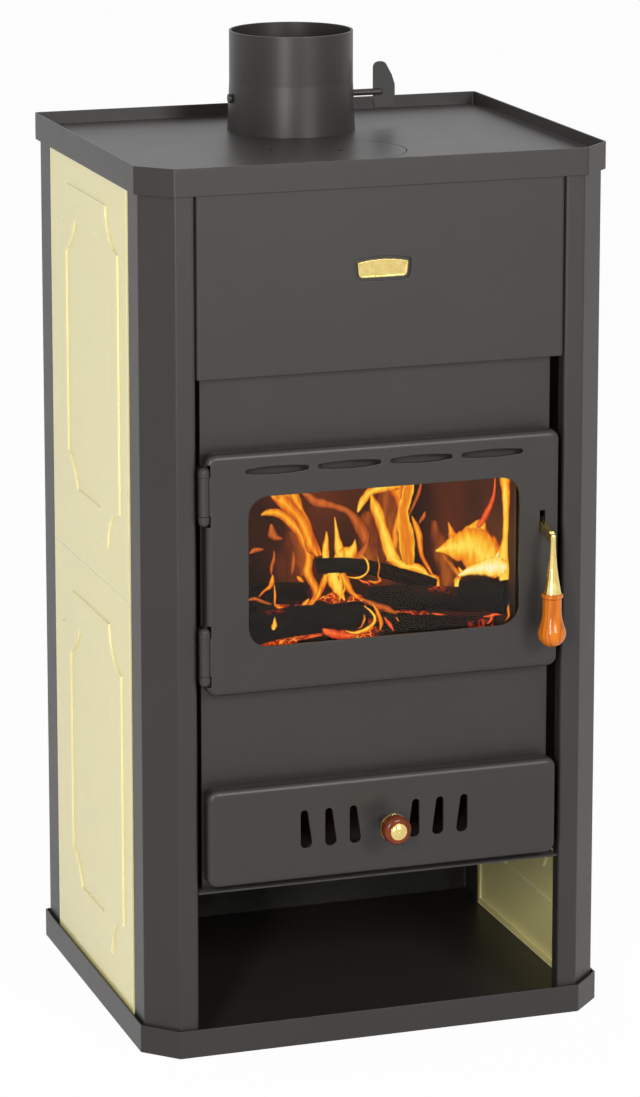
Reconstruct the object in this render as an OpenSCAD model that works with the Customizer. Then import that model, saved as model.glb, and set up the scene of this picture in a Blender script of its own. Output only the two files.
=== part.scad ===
// Hydronic wood stove: a welded steel boiler body in a sheet casing with enamelled side panels.
// Sizes are in millimetres. The origin is the middle of the footprint, on the floor.
// X points right, -Y points to the front of the stove and Z points up.

/* [Casing] */
// Width over the plinth and the top tray
case_w = 570; // [560:2:620]
// Depth over the plinth and the top tray
case_d = 470; // [460:2:520]
// Height from the floor to the rim of the top tray
case_h = 1045; // [1040:1:1100]
// Length cut off each side at the two front corners
corner_cut = 37; // [30:1:42]
// Thickness of the tray and plinth rims
rim_sheet = 2; // [1.5:0.5:3]
// Height of the plinth rim
plinth_rim_h = 33; // [28:1:45]
// Height of the top tray's rim
tray_rim_h = 32; // [30:1:45]
// Drop from the rim to the cooking surface
tray_drop = 15; // [8:1:18]
// Thickness of the cooking surface
top_plate_t = 4; // [3:0.5:6]
// Inner radius of the bends in the casing sheets
bend_r = 3; // [1:0.5:4]

/* [Corner posts] */
// Setback of the posts from the tray's edge
post_inset = 5; // [4:0.5:7]
// Thickness of the post sheet
post_sheet = 1.5; // [1:0.25:2]
// Width of the front beside the opening between the posts
front_side_w = 62; // [60:0.5:63]
// Depth of the post's return beside the front opening
post_return = 18; // [12:1:19]
// Width of the front post's side face, from the cut corner to the panel
front_post_side_w = 44; // [40:1:60]
// Width of the rear post's side face
rear_post_side_w = 52; // [40:1:60]
// Width of the rear post's back flange
rear_flange_w = 40; // [30:1:50]
// Depth of the rebate that takes the side panels
panel_rebate = 9; // [7:0.5:12]
// Width of the lip behind the panel
panel_lip_w = 12; // [10:1:16]

/* [Side panels] */
// Thickness of the enamelled sheet
panel_sheet = 1.5; // [1:0.25:2]
// Distance that the panel face stands out from the post
panel_proud = 1; // [0.5:0.25:1.5]
// Height of the joint between the lower and the upper panel
panel_joint_z = 528; // [500:2:560]
// Gap round each panel
panel_gap = 0.5; // [0.3:0.1:1]
// Width of the pressed frame's outer outline
relief_w = 262; // [230:1:280]
// Height of the pressed frame's outer outline
relief_h = 405; // [380:1:420]
// Distance from the panels' joint to the middle of each pressed frame
relief_offset = 249; // [240:1:254]
// Radius of the coved corners of the pressed frame
cove_r = 50; // [35:1:60]
// Width of the raised band
band_w = 40; // [30:1:45]
// Height of the raised band
band_rise = 2; // [1:0.25:2.5]

/* [Boiler body] */
// Gap between a front post and the boiler body
body_gap = 10; // [9:0.5:11]
// Setback of the front plate from the post's front face
front_plate_setback = 20; // [19:0.5:24]
// Thickness of the front plate
front_plate_t = 5; // [4:0.5:6]
// Distance from the body's back wall to the rear cover
rear_clearance = 35; // [28:1:45]
// Thickness of the jacket's outer wall
jacket_wall = 4; // [3:0.5:4.5]
// Thickness of the firebox wall
liner_wall = 5; // [4:0.5:6]
// Water gap in the side jackets
side_water_gap = 31; // [28:0.5:33]
// Water gap in the rear jacket
rear_water_gap = 36; // [30:1:40]
// Height of the underside of the water jacket
jacket_bottom_z = 330; // [326:1:338]
// Height of the top of the side and rear jackets
jacket_top_z = 930; // [900:2:950]
// Height of the firebox floor's top face
firebox_floor_z = 400; // [390:1:410]
// Thickness of the firebox floor
firebox_floor_t = 5; // [4:0.5:7]
// Height of the water shelf's underside
shelf_z = 800; // [780:2:815]
// Thickness of the water shelf over its walls
shelf_h = 40; // [32:1:50]
// Wall of the water shelf
shelf_wall = 4; // [3:0.5:5]
// Smoke gap between the front plate and the water shelf
smoke_gap = 115; // [90:1:150]
// Diameter of the stays between the jacket walls
stay_d = 16; // [12:1:20]

/* [Grate] */
// Width of the grate
grate_w = 262; // [230:2:300]
// Depth of the grate
grate_d = 202; // [180:2:230]
// Thickness of the grate
grate_t = 8; // [6:0.5:10]
// Number of slots across the grate
grate_slots = 11; // [7:1:13]
// Ledge that carries the grate on the firebox floor
grate_ledge = 10; // [8:1:14]

/* [Door] */
// Gap between the door and a front post
door_gap = 8.5; // [7:0.5:11]
// Height of the door
door_h = 284; // [276:1:290]
// Height of the door's lower edge
door_z = 433; // [428:1:438]
// Thickness of the pressed sheet of the door and drawer fronts
front_sheet = 3; // [2.5:0.25:3.5]
// Depth of the pressed fronts
front_depth = 18; // [16:0.5:20]
// Distance that the fronts stand out from the post's front face
front_proud = 11; // [10:0.5:13]
// Radius of the pressed edges
edge_r = 7; // [4:0.5:8]
// Radius of the fronts' corners
front_corner_r = 12; // [9:0.5:15]
// Width of the door beside the window
window_side = 49.5; // [48.5:0.5:64]
// Height of the door above the window
window_head = 52; // [51:1:60]
// Height of the window's lower edge above the door's lower edge
window_lift = 55; // [52:1:60]
// Corner radius of the window
window_r = 24; // [12:1:30]
// Thickness of the glass
glass_t = 4; // [3.5:0.5:5]
// Overlap of the glass behind the window's edge
glass_overlap = 8; // [6:0.5:8.5]
// Thickness of the glass seal
glass_seal_t = 2; // [1.5:0.5:3]
// Gap between two air slots above the window
air_slot_gap = 11; // [9:0.5:27]
// Distance from the door's edge to the first air slot
air_slot_side = 46; // [44:0.5:52]
// Height of the slots' middle line above the window
air_slot_lift = 30; // [28:1:32]
// Half height of an air slot at its middle
air_slot_rise = 4.75; // [4:0.25:5.5]
// Half height of an air slot at its ends
air_slot_end_r = 2.75; // [2:0.25:3]
// Width of the channel that holds the door seal
seal_channel_w = 12; // [11:0.5:13]
// Sheet of the seal channel
seal_channel_sheet = 2; // [1.5:0.25:2.5]
// Distance from the channel's edge to the front plate
seal_channel_gap = 3; // [2:0.5:5]

/* [Door hinges] */
// Diameter of the hinge barrels
barrel_d = 12; // [11:0.5:13]
// Length of the door's barrel
barrel_l = 45; // [35:1:55]
// Diameter of the hinge pins
hinge_pin_d = 6; // [5:0.5:7]
// Length of each fixed eye
hinge_eye_l = 7; // [5:1:10]
// Outside diameter of the fixed eyes
hinge_eye_d = 13; // [12:0.5:13.5]
// Distance from the door's edge to the middle of each hinge
hinge_inset = 48; // [44:1:60]
// Running clearance of pins and shafts, on the radius
running_fit = 0.06; // [0.03:0.01:0.09]
// Side clearance between turning parts
side_play = 0.3; // [0.2:0.1:0.6]

/* [Door handle] */
// Distance from the door's edge to the handle's middle plane
handle_inset = 21; // [20:0.5:21.5]
// Height of the handle's pivot above the door's lower edge
handle_pivot_lift = 173; // [160:1:185]
// Distance from the door face back to the pivot
handle_pivot_depth = 12; // [11:0.5:13]
// Diameter of the handle's pivot pin
handle_pin_d = 5; // [4:0.5:6]
// Width of the brass tongue
tongue_w = 6; // [5:0.5:6.5]
// Reach of the handle in front of its pivot
handle_reach = 45; // [40:1:55]
// Length of the brass cone
cone_l = 70; // [60:1:80]
// Largest diameter of the brass cone
cone_d = 21; // [18:0.5:23]
// Length of the wooden grip
grip_l = 64; // [54:1:72]
// Largest diameter of the wooden grip
grip_d = 33; // [28:0.5:36]
// Diameter of the grip's neck
grip_neck_d = 22; // [18:0.5:24]
// Thickness of the latch hook
hook_t = 3; // [2.5:0.5:4]

/* [Ash drawer] */
// Height of the drawer front's lower edge
drawer_z = 204; // [202:0.5:206]
// Height of the drawer front
drawer_h = 117; // [114:1:120]
// Depth of the ash box
ash_box_d = 330; // [260:5:345]
// Distance from the boiler's side to the ash box
ash_box_side = 45; // [44.5:0.5:53]
// Height of the ash box's sides
ash_box_h = 80; // [60:1:86]
// Sheet of the ash box
ash_box_sheet = 1.5; // [1:0.25:2]
// Pitch of the air slots in the drawer front
drop_pitch = 30; // [29:0.5:32]
// Distance from the middle to the nearest slot's middle
drop_start = 36; // [34:0.5:40]
// Height of one air slot
drop_h = 46; // [38:0.5:48]
// Width of an air slot at its top
drop_top_w = 9.2; // [7:0.1:9.5]
// Width of an air slot at its foot
drop_foot_w = 14; // [12:0.5:14.5]
// Height of the slots' foot above the drawer front's lower edge
drop_lift = 38; // [34:1:42]

/* [Air shutter] */
// Height of the knob's axis above the drawer front's lower edge
knob_lift = 63; // [60:1:66]
// Diameter of the wooden knob
knob_d = 34; // [30:1:38]
// Length of the wooden knob
knob_l = 15; // [12:1:18]
// Distance from the drawer face to the knob's back
knob_reach = 30; // [24:1:36]
// Diameter of the knob's stem where it passes the drawer front
stem_d = 8; // [7:0.5:8.5]
// Radius of the crank that moves the shutter
crank_r = 15; // [14:0.5:16]
// Thickness of the shutter
shutter_t = 1.5; // [1:0.25:2]

/* [Flue] */
// Outside diameter of the spigot that takes the flue pipe
spigot_d = 149; // [148:0.5:150]
// Outside diameter of the sleeve round the damper
sleeve_d = 154; // [152:0.5:158]
// Wall of the flue collar
collar_wall = 2.5; // [2:0.25:3]
// Height of the collar above the cooking surface
collar_h = 120; // [114:1:150]
// Height of the sleeve above the cooking surface
sleeve_h = 60; // [54:1:70]
// Position of the flue behind the stove's middle
flue_y = 105; // [100:1:106]
// Height of the damper shaft above the cooking surface
damper_lift = 40; // [36:1:44]
// Diameter of the damper shaft
damper_shaft_d = 8; // [7:0.5:9]
// Gap between the damper plate and the sleeve
damper_gap = 3; // [2:0.5:5]
// Length of the shaft outside the sleeve on the lever's side
damper_reach = 36; // [30:1:45]

/* [Cooking lid] */
// Diameter of the lid
lid_d = 158; // [140:1:162]
// Gap round the lid
lid_gap = 1; // [0.5:0.25:1.5]
// Position of the lid in front of the stove's middle
lid_y = 72; // [70:1:78]
// Width of the ledge under the lid's edge
lid_ledge_w = 9; // [7:0.5:11]

/* [Water connections] */
// Outside diameter of the main sockets
socket_d = 44; // [42:0.5:48]
// Bore of the main sockets, for a one inch pipe thread
socket_bore = 30.3; // [30:0.1:30.6]
// Outside diameter of the small sockets
small_socket_d = 28; // [26:0.5:32]
// Bore of the small sockets, for a half inch pipe thread
small_socket_bore = 18.6; // [18.4:0.1:19]
// Distance of the sockets from the stove's middle
socket_x = 140; // [110:1:150]
// Distance that the sockets stand out behind the case
socket_proud = 5; // [3:1:15]

/* [Fascia] */
// Height of the fascia's lower edge
fascia_z = 802; // [790:1:810]
// Gap between the fascia and the posts
fascia_gap = 0.8; // [0.5:0.1:1.5]
// Width of the badge plate
badge_w = 62; // [50:1:66]
// Height of the badge plate
badge_h = 20.5; // [16:0.5:23]
// Margin of the pressed pocket round the badge
pocket_margin = 4; // [3:0.5:7]
// Depth of the pressed pocket
pocket_depth = 3; // [2:0.5:4]
// Height of the badge's middle above the fascia's lower edge
badge_lift = 116; // [90:1:140]

/* [Hidden] */
$fn = 48;

// Steps of an arc in a bent sheet
bend_steps = 4;
// Small distance that keeps a cut's end off a face
cut = 1;

// Casing places
half_w = case_w / 2;
half_d = case_d / 2;
plate_top_z = case_h - tray_drop;
plate_under_z = plate_top_z - top_plate_t;
post_x = half_w - post_inset;
post_y = half_d - post_inset;
post_cut = corner_cut - post_inset * (2 - sqrt(2));
opening_x = half_w - front_side_w;
panel_front_y = -post_y + post_cut + front_post_side_w;
panel_back_y = post_y - rear_post_side_w;
panel_mid_y = (panel_front_y + panel_back_y) / 2;
lip_x = post_x - panel_rebate;
rail_t = 3;
rail_leg = 34;
rail_x = lip_x - post_sheet;
rear_cover_t = 1.5;
rear_cover_y = post_y - post_sheet - rear_cover_t;
rear_cover_half_w = post_x - rear_flange_w + 15;

// Boiler body places
body_x = opening_x - body_gap;
plate_y = -post_y + front_plate_setback;
body_front_y = plate_y + front_plate_t;
body_back_y = rear_cover_y - rear_clearance;
liner_x = body_x - jacket_wall - side_water_gap;
firebox_x = liner_x - liner_wall;
liner_back_y = body_back_y - jacket_wall - rear_water_gap;
firebox_back_y = liner_back_y - liner_wall;
store_top_z = drawer_z - 8;
ceiling_t = 2;
pit_wall = 3;
pit_floor_z = store_top_z + pit_wall;

// Door and drawer places
face_y = -post_y - front_proud;
front_back_y = face_y + front_depth;
inside_y = face_y + front_sheet;
door_w = 2 * (opening_x - door_gap);
door_mid_z = door_z + door_h / 2;
window_w = door_w - 2 * window_side;
window_h = door_h - window_lift - window_head;
window_z = door_z + window_lift;
window_mid_z = window_z + window_h / 2;
air_slot_z = window_z + window_h + air_slot_lift;
air_slot_l = (door_w - 2 * air_slot_side - 3 * air_slot_gap) / 4;
air_slot_pitch = air_slot_l + air_slot_gap;
door_hole_x = window_w / 2 + 7;
door_hole_z0 = window_z - 26;
door_hole_z1 = window_z + window_h + 26;
channel_out_x = window_w / 2 + glass_overlap + 1 + seal_channel_w;
channel_z0 = window_z - glass_overlap - 20 - seal_channel_w;
channel_z1 = air_slot_z + 13;
channel_in_top_z = window_z + window_h + 19;
channel_back_y = plate_y - seal_channel_gap;
web_y = channel_back_y - 11;

// Hinge places
hinge_x = -door_w / 2 - 2.5;
hinge_y = face_y + 3;
hinge_zs = [door_z + hinge_inset, door_z + door_h - hinge_inset];
hinge_h = barrel_l + 2 * hinge_eye_l + 2 * side_play;
pin_head_h = 5;

// Handle places
handle_x = door_w / 2 - handle_inset;
pivot_y = face_y + handle_pivot_depth;
pivot_z = door_z + handle_pivot_lift;
handle_y = pivot_y - handle_reach;
tongue_up = 4;
tongue_down = 9;
handle_slot_up = 16.5;
ear_t = 3;
ear_r = 6;
hook_x = handle_x + tongue_w / 2;
keeper_pin_d = 5;
keeper_y = plate_y - 9;
keeper_z = pivot_z + 2;

// Drawer places
drawer_mid_z = drawer_z + drawer_h / 2;
knob_z = drawer_z + knob_lift;
back_plate_t = 3;
back_plate_y = plate_y - side_play - back_plate_t;
ash_box_w = 2 * (body_x - ash_box_side);
ash_box_z = pit_floor_z + 13;
pit_hole_x = ash_box_w / 2 + 4;
pit_hole_z0 = ash_box_z - 4;
pit_hole_z1 = ash_box_z + ash_box_h + 8;
pit_x = pit_hole_x + 3;
crank_angle = 30;
shutter_y = inside_y + side_play;
shutter_x = 2 * drop_pitch + drop_start + drop_foot_w / 2 + 20;
shutter_z0 = drawer_z + drop_lift - 6;
shutter_z1 = drawer_z + drop_lift + drop_h + 6;

// Flue places
shaft_z = plate_top_z + damper_lift;
bore_r = spigot_d / 2 - collar_wall;
damper_r = bore_r - damper_gap;
damper_t = 2;
lever_lap = 8;

// Values shared by several pieces
ring_t = 4;
shelf_front_y = body_front_y + smoke_gap;
grate_y = (body_front_y + firebox_back_y) / 2;
rail_bolt_d = 6;
rail_bolt_head = 10;
rail_bolt_zs = [store_top_z - ceiling_t - rail_leg / 2, panel_joint_z - 10, panel_joint_z + 10];
rail_bolt_ys = [panel_front_y + panel_lip_w / 2 + 1, panel_back_y - panel_lip_w / 2 - 1];
rear_screw_d = 5;
rear_screw_x = (rear_cover_half_w + post_x - rear_flange_w) / 2;
rear_screw_zs = [for (k = [0:3]) plinth_rim_h + 40 + k * (case_h - tray_rim_h - plinth_rim_h - 80) / 3];
badge_z = fascia_z + badge_lift;
socket_low_z = jacket_bottom_z + 45;
socket_high_z = jacket_top_z - 45;
main_sockets = [[-socket_x, socket_high_z], [socket_x, socket_low_z]];
small_sockets = [[socket_x, socket_high_z], [-socket_x, socket_low_z]];
probe_place = [0, socket_high_z];
probe_bore = 10;
probe_tube_d = 14;
stay_zs = [for (k = [1:4]) firebox_floor_z + k * (shelf_z - firebox_floor_z) / 5];
tang_d = 6;
crank_pin_d = 4;
crank_travel = 2 * crank_r * sin(crank_angle);
knob_plate_t = 4;

// Colours
dark_steel = "#3b3a3b";
black_steel = "#262627";
cream_enamel = "#e6dfb2";
brass_color = "#c8a24a";
wood_color = "#b4571c";
rope_color = "#d9d4c6";
glass_color = "#20242880";
zinc_color = "#a9abad";

// Unit vector along v
function unit(v) = v / norm(v);

// Vector d turned a quarter to the left
function left_of(d) = [-d.y, d.x];

// List in the opposite order
function reversed(list) = [for (i = [len(list) - 1:-1:0]) list[i]];

// Points of an arc between two angles
function arc(centre, r, from, to, steps) =
    [for (i = [0:steps]) let (angle = from + (to - from) * i / steps) centre + r * [cos(angle), sin(angle)]];

// Arc of radius r that rounds the corner at b between a and c
function corner_arc(a, b, c, r) =
    let (u = unit(a - b))
    let (v = unit(c - b))
    let (half = acos(u * v) / 2)
    let (centre = b + unit(u + v) * r / sin(half))
    let (start = b + u * r / tan(half) - centre)
    let (first = atan2(start.y, start.x))
    let (sweep = sign(cross(b - a, c - b)) * (180 - 2 * half))
    arc(centre, r, first, first + sweep, bend_steps);

// Outline of two round ends and the straight sides that touch both
function linked_outline(a, ra, b, rb) =
    let (base = atan2(b.y - a.y, b.x - a.x))
    let (lean = acos((ra - rb) / norm(b - a)))
    concat(arc(a, ra, base + lean, base + 360 - lean, 16), arc(b, rb, base - lean, base + lean, 16));

// Closed outline with each corner rounded by radius r
function rounded_loop(points, r) =
    let (n = len(points))
    [for (i = [0:n - 1]) each corner_arc(points[(i + n - 1) % n], points[i], points[(i + 1) % n], r)];

// Direction of segment i of a path, held at the path's ends
function segment(path, i) =
    let (k = min(max(i, 0), len(path) - 2))
    unit(path[k + 1] - path[k]);

// Path moved to its left by distance t
function shifted(path, t) = [
    for (i = [0:len(path) - 1])
        let (n = unit(left_of(segment(path, i - 1)) + left_of(segment(path, i))))
        path[i] + n * t / (n * left_of(segment(path, i)))];

// Path whose inner corners are rounded; left turns get radius left_r and right turns right_r
function bent_line(path, left_r, right_r) = [
    for (i = [0:len(path) - 1])
        let (inner = i > 0 && i < len(path) - 1)
        let (turn = inner ? cross(segment(path, i - 1), segment(path, i)) : 0)
        each (inner
            ? corner_arc(path[i - 1], path[i], path[i + 1], turn > 0 ? left_r : right_r)
            : [path[i]])];

// Outline of the casing seen from above, moved inward by inset
function case_outline(inset) =
    let (w = half_w - inset)
    let (d = half_d - inset)
    let (c = corner_cut - inset * (2 - sqrt(2)))
    [[-w, d], [-w, -d + c], [-w + c, -d], [w - c, -d], [w, -d + c], [w, d]];

// Sheet of thickness t bent along a path, standing height h
module bent_sheet(path, t, h) {
    outer = bent_line(path, bend_r + t, bend_r);
    inner = bent_line(shifted(path, t), bend_r, bend_r + t);
    linear_extrude(h) polygon(concat(outer, reversed(inner)));
}

// Copies its children on the left and on the right
module both_sides() {
    children();
    mirror([1, 0, 0]) children();
}

// Turns a drawing made in x and y into a solid from y0 to y1 along the depth, with y as height
module facing_front(y0, y1) {
    translate([0, y1, 0]) rotate([90, 0, 0]) linear_extrude(y1 - y0) children();
}

// Turns a drawing of depth and height into a solid from x0 to x1
module facing_side(x0, x1) {
    translate([x0, 0, 0]) rotate([90, 0, 90]) linear_extrude(x1 - x0) children();
}

// Box between two corners
module box(low, high) {
    translate(low) cube(high - low);
}

// Rectangle with round corners, centred
module rounded_rect(w, h, r) {
    square([w - 2 * r, h], center = true);
    square([w, h - 2 * r], center = true);
    for (x = [-1, 1], y = [-1, 1]) translate([x * (w / 2 - r), y * (h / 2 - r)]) circle(r);
}

// Rectangle of w by h with corners coved by circles of radius r, set out from a larger rectangle
module coved_rect(w, h, r, centre_w, centre_h) {
    difference() {
        square([w, h], center = true);
        for (x = [-1, 1], y = [-1, 1]) translate([x * centre_w / 2, y * centre_h / 2]) circle(r);
    }
}

// Domed head: a slice of a sphere of height h over a circle of radius r
module dome(r, h) {
    ball_r = (r * r + h * h) / (2 * h);
    intersection() {
        translate([0, 0, h - ball_r]) sphere(ball_r);
        cylinder(r = r + cut, h = h + cut);
    }
}

// Hexagon head screw along +Z: head below z = 0, shank above
module hex_screw(head_w, head_h, shank_d, shank_l) {
    translate([0, 0, -head_h]) cylinder(d = head_w / cos(30), h = head_h, $fn = 6);
    cylinder(d = shank_d, h = shank_l);
}

// Sheet tray: a rim from z0 to z1 round a sheet from s0 to s1
module tray_solid(z0, z1, s0, s1) {
    difference() {
        translate([0, 0, z0]) linear_extrude(z1 - z0)
            polygon(rounded_loop(case_outline(0), bend_r + rim_sheet));
        translate([0, 0, z0 - cut]) linear_extrude(s0 - z0 + cut) rim_inside();
        translate([0, 0, s1]) linear_extrude(z1 - s1 + cut) rim_inside();
    }
}

// Area inside the rim of a tray
module rim_inside() {
    polygon(rounded_loop(case_outline(rim_sheet), bend_r));
}

module plinth() {
    color(dark_steel) tray_solid(0, plinth_rim_h, 0, rim_sheet);
}

module top_tray() {
    color(dark_steel) difference() {
        tray_solid(case_h - tray_rim_h, case_h, plate_under_z, plate_top_z);
        translate([0, flue_y, plate_under_z - cut]) cylinder(d = sleeve_d + 0.4, h = top_plate_t + 2 * cut);
        translate([0, -lid_y, plate_under_z - cut])
            cylinder(r = lid_d / 2 + lid_gap, h = top_plate_t + 2 * cut);
    }
}

// Ring under the cooking surface that carries the lid
module lid_ledge() {
    color(black_steel) translate([0, -lid_y, plate_under_z - top_plate_t]) difference() {
        cylinder(r = lid_d / 2 + lid_gap + lid_ledge_w, h = top_plate_t);
        translate([0, 0, -cut]) cylinder(r = lid_d / 2 - lid_ledge_w, h = top_plate_t + 2 * cut);
    }
}

// Lid, level with the cooking surface, with a lifting socket in its middle
module cooking_lid() {
    socket_d = 10;
    boss_d = 26;
    color(dark_steel) translate([0, -lid_y, 0]) difference() {
        union() {
            translate([0, 0, plate_under_z + side_play]) cylinder(d = lid_d, h = top_plate_t - side_play);
            translate([0, 0, plate_under_z - 6]) cylinder(d = boss_d, h = 8);
        }
        translate([0, 0, plate_top_z - 4]) cylinder(d = socket_d, h = 5);
    }
}

// Right front post: return, front face, cut corner, side face and the lip behind the panel
module front_post() {
    path = [
        [opening_x, -post_y + post_return], [opening_x, -post_y], [post_x - post_cut, -post_y],
        [post_x, -post_y + post_cut], [post_x, panel_front_y], [lip_x, panel_front_y],
        [lip_x, panel_front_y + panel_lip_w]];
    color(dark_steel) difference() {
        translate([0, 0, rim_sheet]) bent_sheet(path, post_sheet, plate_under_z - rim_sheet);
        rail_bolt_holes(panel_front_y + panel_lip_w / 2 + 1);
    }
}

// Right rear post: the lip behind the panel, side face and back flange
module rear_post() {
    path = [
        [lip_x, panel_back_y - panel_lip_w], [lip_x, panel_back_y], [post_x, panel_back_y],
        [post_x, post_y], [post_x - rear_flange_w, post_y]];
    color(dark_steel) difference() {
        translate([0, 0, rim_sheet]) bent_sheet(path, post_sheet, plate_under_z - rim_sheet);
        rail_bolt_holes(panel_back_y - panel_lip_w / 2 - 1);
        rear_screw_holes();
    }
}

// Holes through a post's lip for the bolts of the rails, at depth y
module rail_bolt_holes(y) {
    for (z = rail_bolt_zs) {
        translate([lip_x - 6, y, z]) rotate([0, 90, 0]) cylinder(r = rail_bolt_d / 2 + 0.2, h = 12);
    }
}

module front_post_right() {
    front_post();
}

module front_post_left() {
    mirror([1, 0, 0]) front_post();
}

module rear_post_right() {
    rear_post();
}

module rear_post_left() {
    mirror([1, 0, 0]) rear_post();
}

// Right side panel from z0 to z1: a folded enamelled sheet with a raised, pressed frame round relief_z
module side_panel(z0, z1, relief_z) {
    w = panel_back_y - panel_front_y - 2 * panel_gap;
    h = z1 - z0;
    face_x = post_x + panel_proud;
    back_x = face_x - panel_sheet;
    inner_w = relief_w - 2 * band_w;
    inner_h = relief_h - 2 * band_w;
    color(cream_enamel) translate([0, panel_mid_y, relief_z]) difference() {
        union() {
            facing_side(lip_x, face_x) translate([0, (z0 + z1) / 2 - relief_z]) square([w, h], center = true);
            facing_side(back_x, face_x + band_rise) difference() {
                coved_rect(relief_w, relief_h, cove_r, relief_w, relief_h);
                coved_rect(inner_w, inner_h, cove_r + band_w, relief_w, relief_h);
            }
        }
        facing_side(lip_x - cut, back_x) translate([0, (z0 + z1) / 2 - relief_z]) {
            square([w - 2 * panel_sheet, h - 2 * panel_sheet], center = true);
        }
        for (side = [-1, 1]) facing_side(lip_x - cut, lip_x + bend_r) {
            translate([side * w / 2, (z0 + z1) / 2 - relief_z])
                square([2 * bend_r, h + 2 * cut], center = true);
        }
        facing_side(back_x - cut, back_x + band_rise) difference() {
            coved_rect(relief_w - 2 * panel_sheet, relief_h - 2 * panel_sheet, cove_r + panel_sheet,
                relief_w, relief_h);
            coved_rect(inner_w + 2 * panel_sheet, inner_h + 2 * panel_sheet, cove_r + band_w - panel_sheet,
                relief_w, relief_h);
        }
    }
}

module side_panel_lower_right() {
    side_panel(rim_sheet + panel_gap, panel_joint_z - panel_gap / 2, panel_joint_z - relief_offset);
}

module side_panel_lower_left() {
    mirror([1, 0, 0]) side_panel_lower_right();
}

module side_panel_upper_right() {
    side_panel(panel_joint_z + panel_gap / 2, plate_under_z - panel_gap, panel_joint_z + relief_offset);
}

module side_panel_upper_left() {
    mirror([1, 0, 0]) side_panel_upper_right();
}

// Angle bars between the posts that carry the boiler on the ceiling of the wood store
module carrier_rails() {
    z1 = store_top_z - ceiling_t;
    color(black_steel) both_sides() difference() {
        union() {
            box([rail_x - rail_t, panel_front_y, z1 - rail_leg], [rail_x, panel_back_y, z1]);
            box([rail_x - rail_leg, panel_front_y, z1 - rail_t], [rail_x, panel_back_y, z1]);
        }
        for (y = rail_bolt_ys) rail_bolt_holes(y);
    }
}

// Flat bars behind the joint of the side panels
module panel_rails() {
    color(black_steel) both_sides() difference() {
        box([rail_x - rail_t, panel_front_y, panel_joint_z - rail_leg / 2],
            [rail_x, panel_back_y, panel_joint_z + rail_leg / 2]);
        for (y = rail_bolt_ys) rail_bolt_holes(y);
    }
}

// Hexagon screws that hold the rails to the posts, with their heads inside the casing
module rail_bolts() {
    shank_l = rail_t + post_sheet + 3;
    color(zinc_color) both_sides() for (y = rail_bolt_ys, z = rail_bolt_zs) {
        translate([rail_x - rail_t, y, z]) rotate([0, 90, 0])
            hex_screw(rail_bolt_head, 4, rail_bolt_d, shank_l);
    }
}

// Sheet over the wood store, on which the boiler stands
module store_ceiling() {
    side_w = rail_x - 0.5;
    color(black_steel) {
        box([-side_w, panel_front_y + 0.5, store_top_z - ceiling_t],
            [side_w, panel_back_y - 0.5, store_top_z]);
        box([-opening_x + 0.7, -post_y + 4, store_top_z - ceiling_t],
            [opening_x - 0.7, panel_front_y + 0.5, store_top_z]);
        box([-opening_x + 0.7, panel_back_y - 0.5, store_top_z - ceiling_t],
            [opening_x - 0.7, rear_cover_y, store_top_z]);
    }
}

// Rear cover with air slots and openings for the water sockets
module rear_cover() {
    slot_w = 70;
    slot_h = 8;
    color(black_steel) difference() {
        box([-rear_cover_half_w, rear_cover_y, rim_sheet],
            [rear_cover_half_w, rear_cover_y + rear_cover_t, plate_under_z]);
        facing_front(rear_cover_y - cut, rear_cover_y + rear_cover_t + cut) {
            for (x = [-1, 0, 1], row = [0:4]) {
                translate([x * 1.4 * slot_w, panel_joint_z + row * 2.5 * slot_h])
                    rounded_rect(slot_w, slot_h, slot_h / 2 - 0.01);
            }
            for (p = main_sockets) translate(p) circle(d = socket_d + 3);
            for (p = concat(small_sockets, [probe_place])) translate(p) circle(d = small_socket_d + 3);
        }
        rear_screw_holes();
    }
}

// Holes for the screws of the rear cover
module rear_screw_holes() {
    for (x = [-rear_screw_x, rear_screw_x], z = rear_screw_zs) {
        translate([x, rear_cover_y - cut, z]) rotate([-90, 0, 0]) cylinder(r = rear_screw_d / 2 + 0.1, h = 6);
    }
}

module rear_cover_screws() {
    head_r = 5;
    color(zinc_color) for (x = [-rear_screw_x, rear_screw_x], z = rear_screw_zs) {
        translate([x, post_y, z]) rotate([90, 0, 0]) {
            mirror([0, 0, 1]) dome(head_r, 2.5);
            cylinder(d = rear_screw_d, h = 9);
        }
    }
}

// Cover over the top of the boiler's front, with a pressed pocket for the badge
module fascia() {
    fx = opening_x - fascia_gap;
    path = [[-fx, -post_y + 14], [-fx, -post_y], [fx, -post_y], [fx, -post_y + 14]];
    color(dark_steel) difference() {
        union() {
            translate([0, 0, fascia_z]) bent_sheet(path, post_sheet, plate_under_z - fascia_z);
            box([-fx + post_sheet + bend_r, -post_y + post_sheet, fascia_z],
                [fx - post_sheet - bend_r, plate_y, fascia_z + post_sheet]);
            translate([0, 0, badge_z]) facing_front(-post_y + 0.5, -post_y + pocket_depth + post_sheet) {
                badge_outline(pocket_margin + post_sheet, 8);
            }
        }
        translate([0, 0, badge_z]) facing_front(-post_y - cut, -post_y + pocket_depth) {
            badge_outline(pocket_margin, 8);
        }
    }
}

// Outline of the badge, grown by a margin: narrower at its foot and with an arched top
module badge_outline(margin, corner_r) {
    arch_r = 150;
    narrowing = 2.4;
    w = badge_w / 2 + margin;
    h = badge_h / 2 + margin;
    intersection() {
        polygon(rounded_loop([[-w + narrowing, -h], [w - narrowing, -h], [w, h], [-w, h]], corner_r));
        translate([0, h - arch_r]) circle(arch_r, $fn = 180);
    }
}

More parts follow.
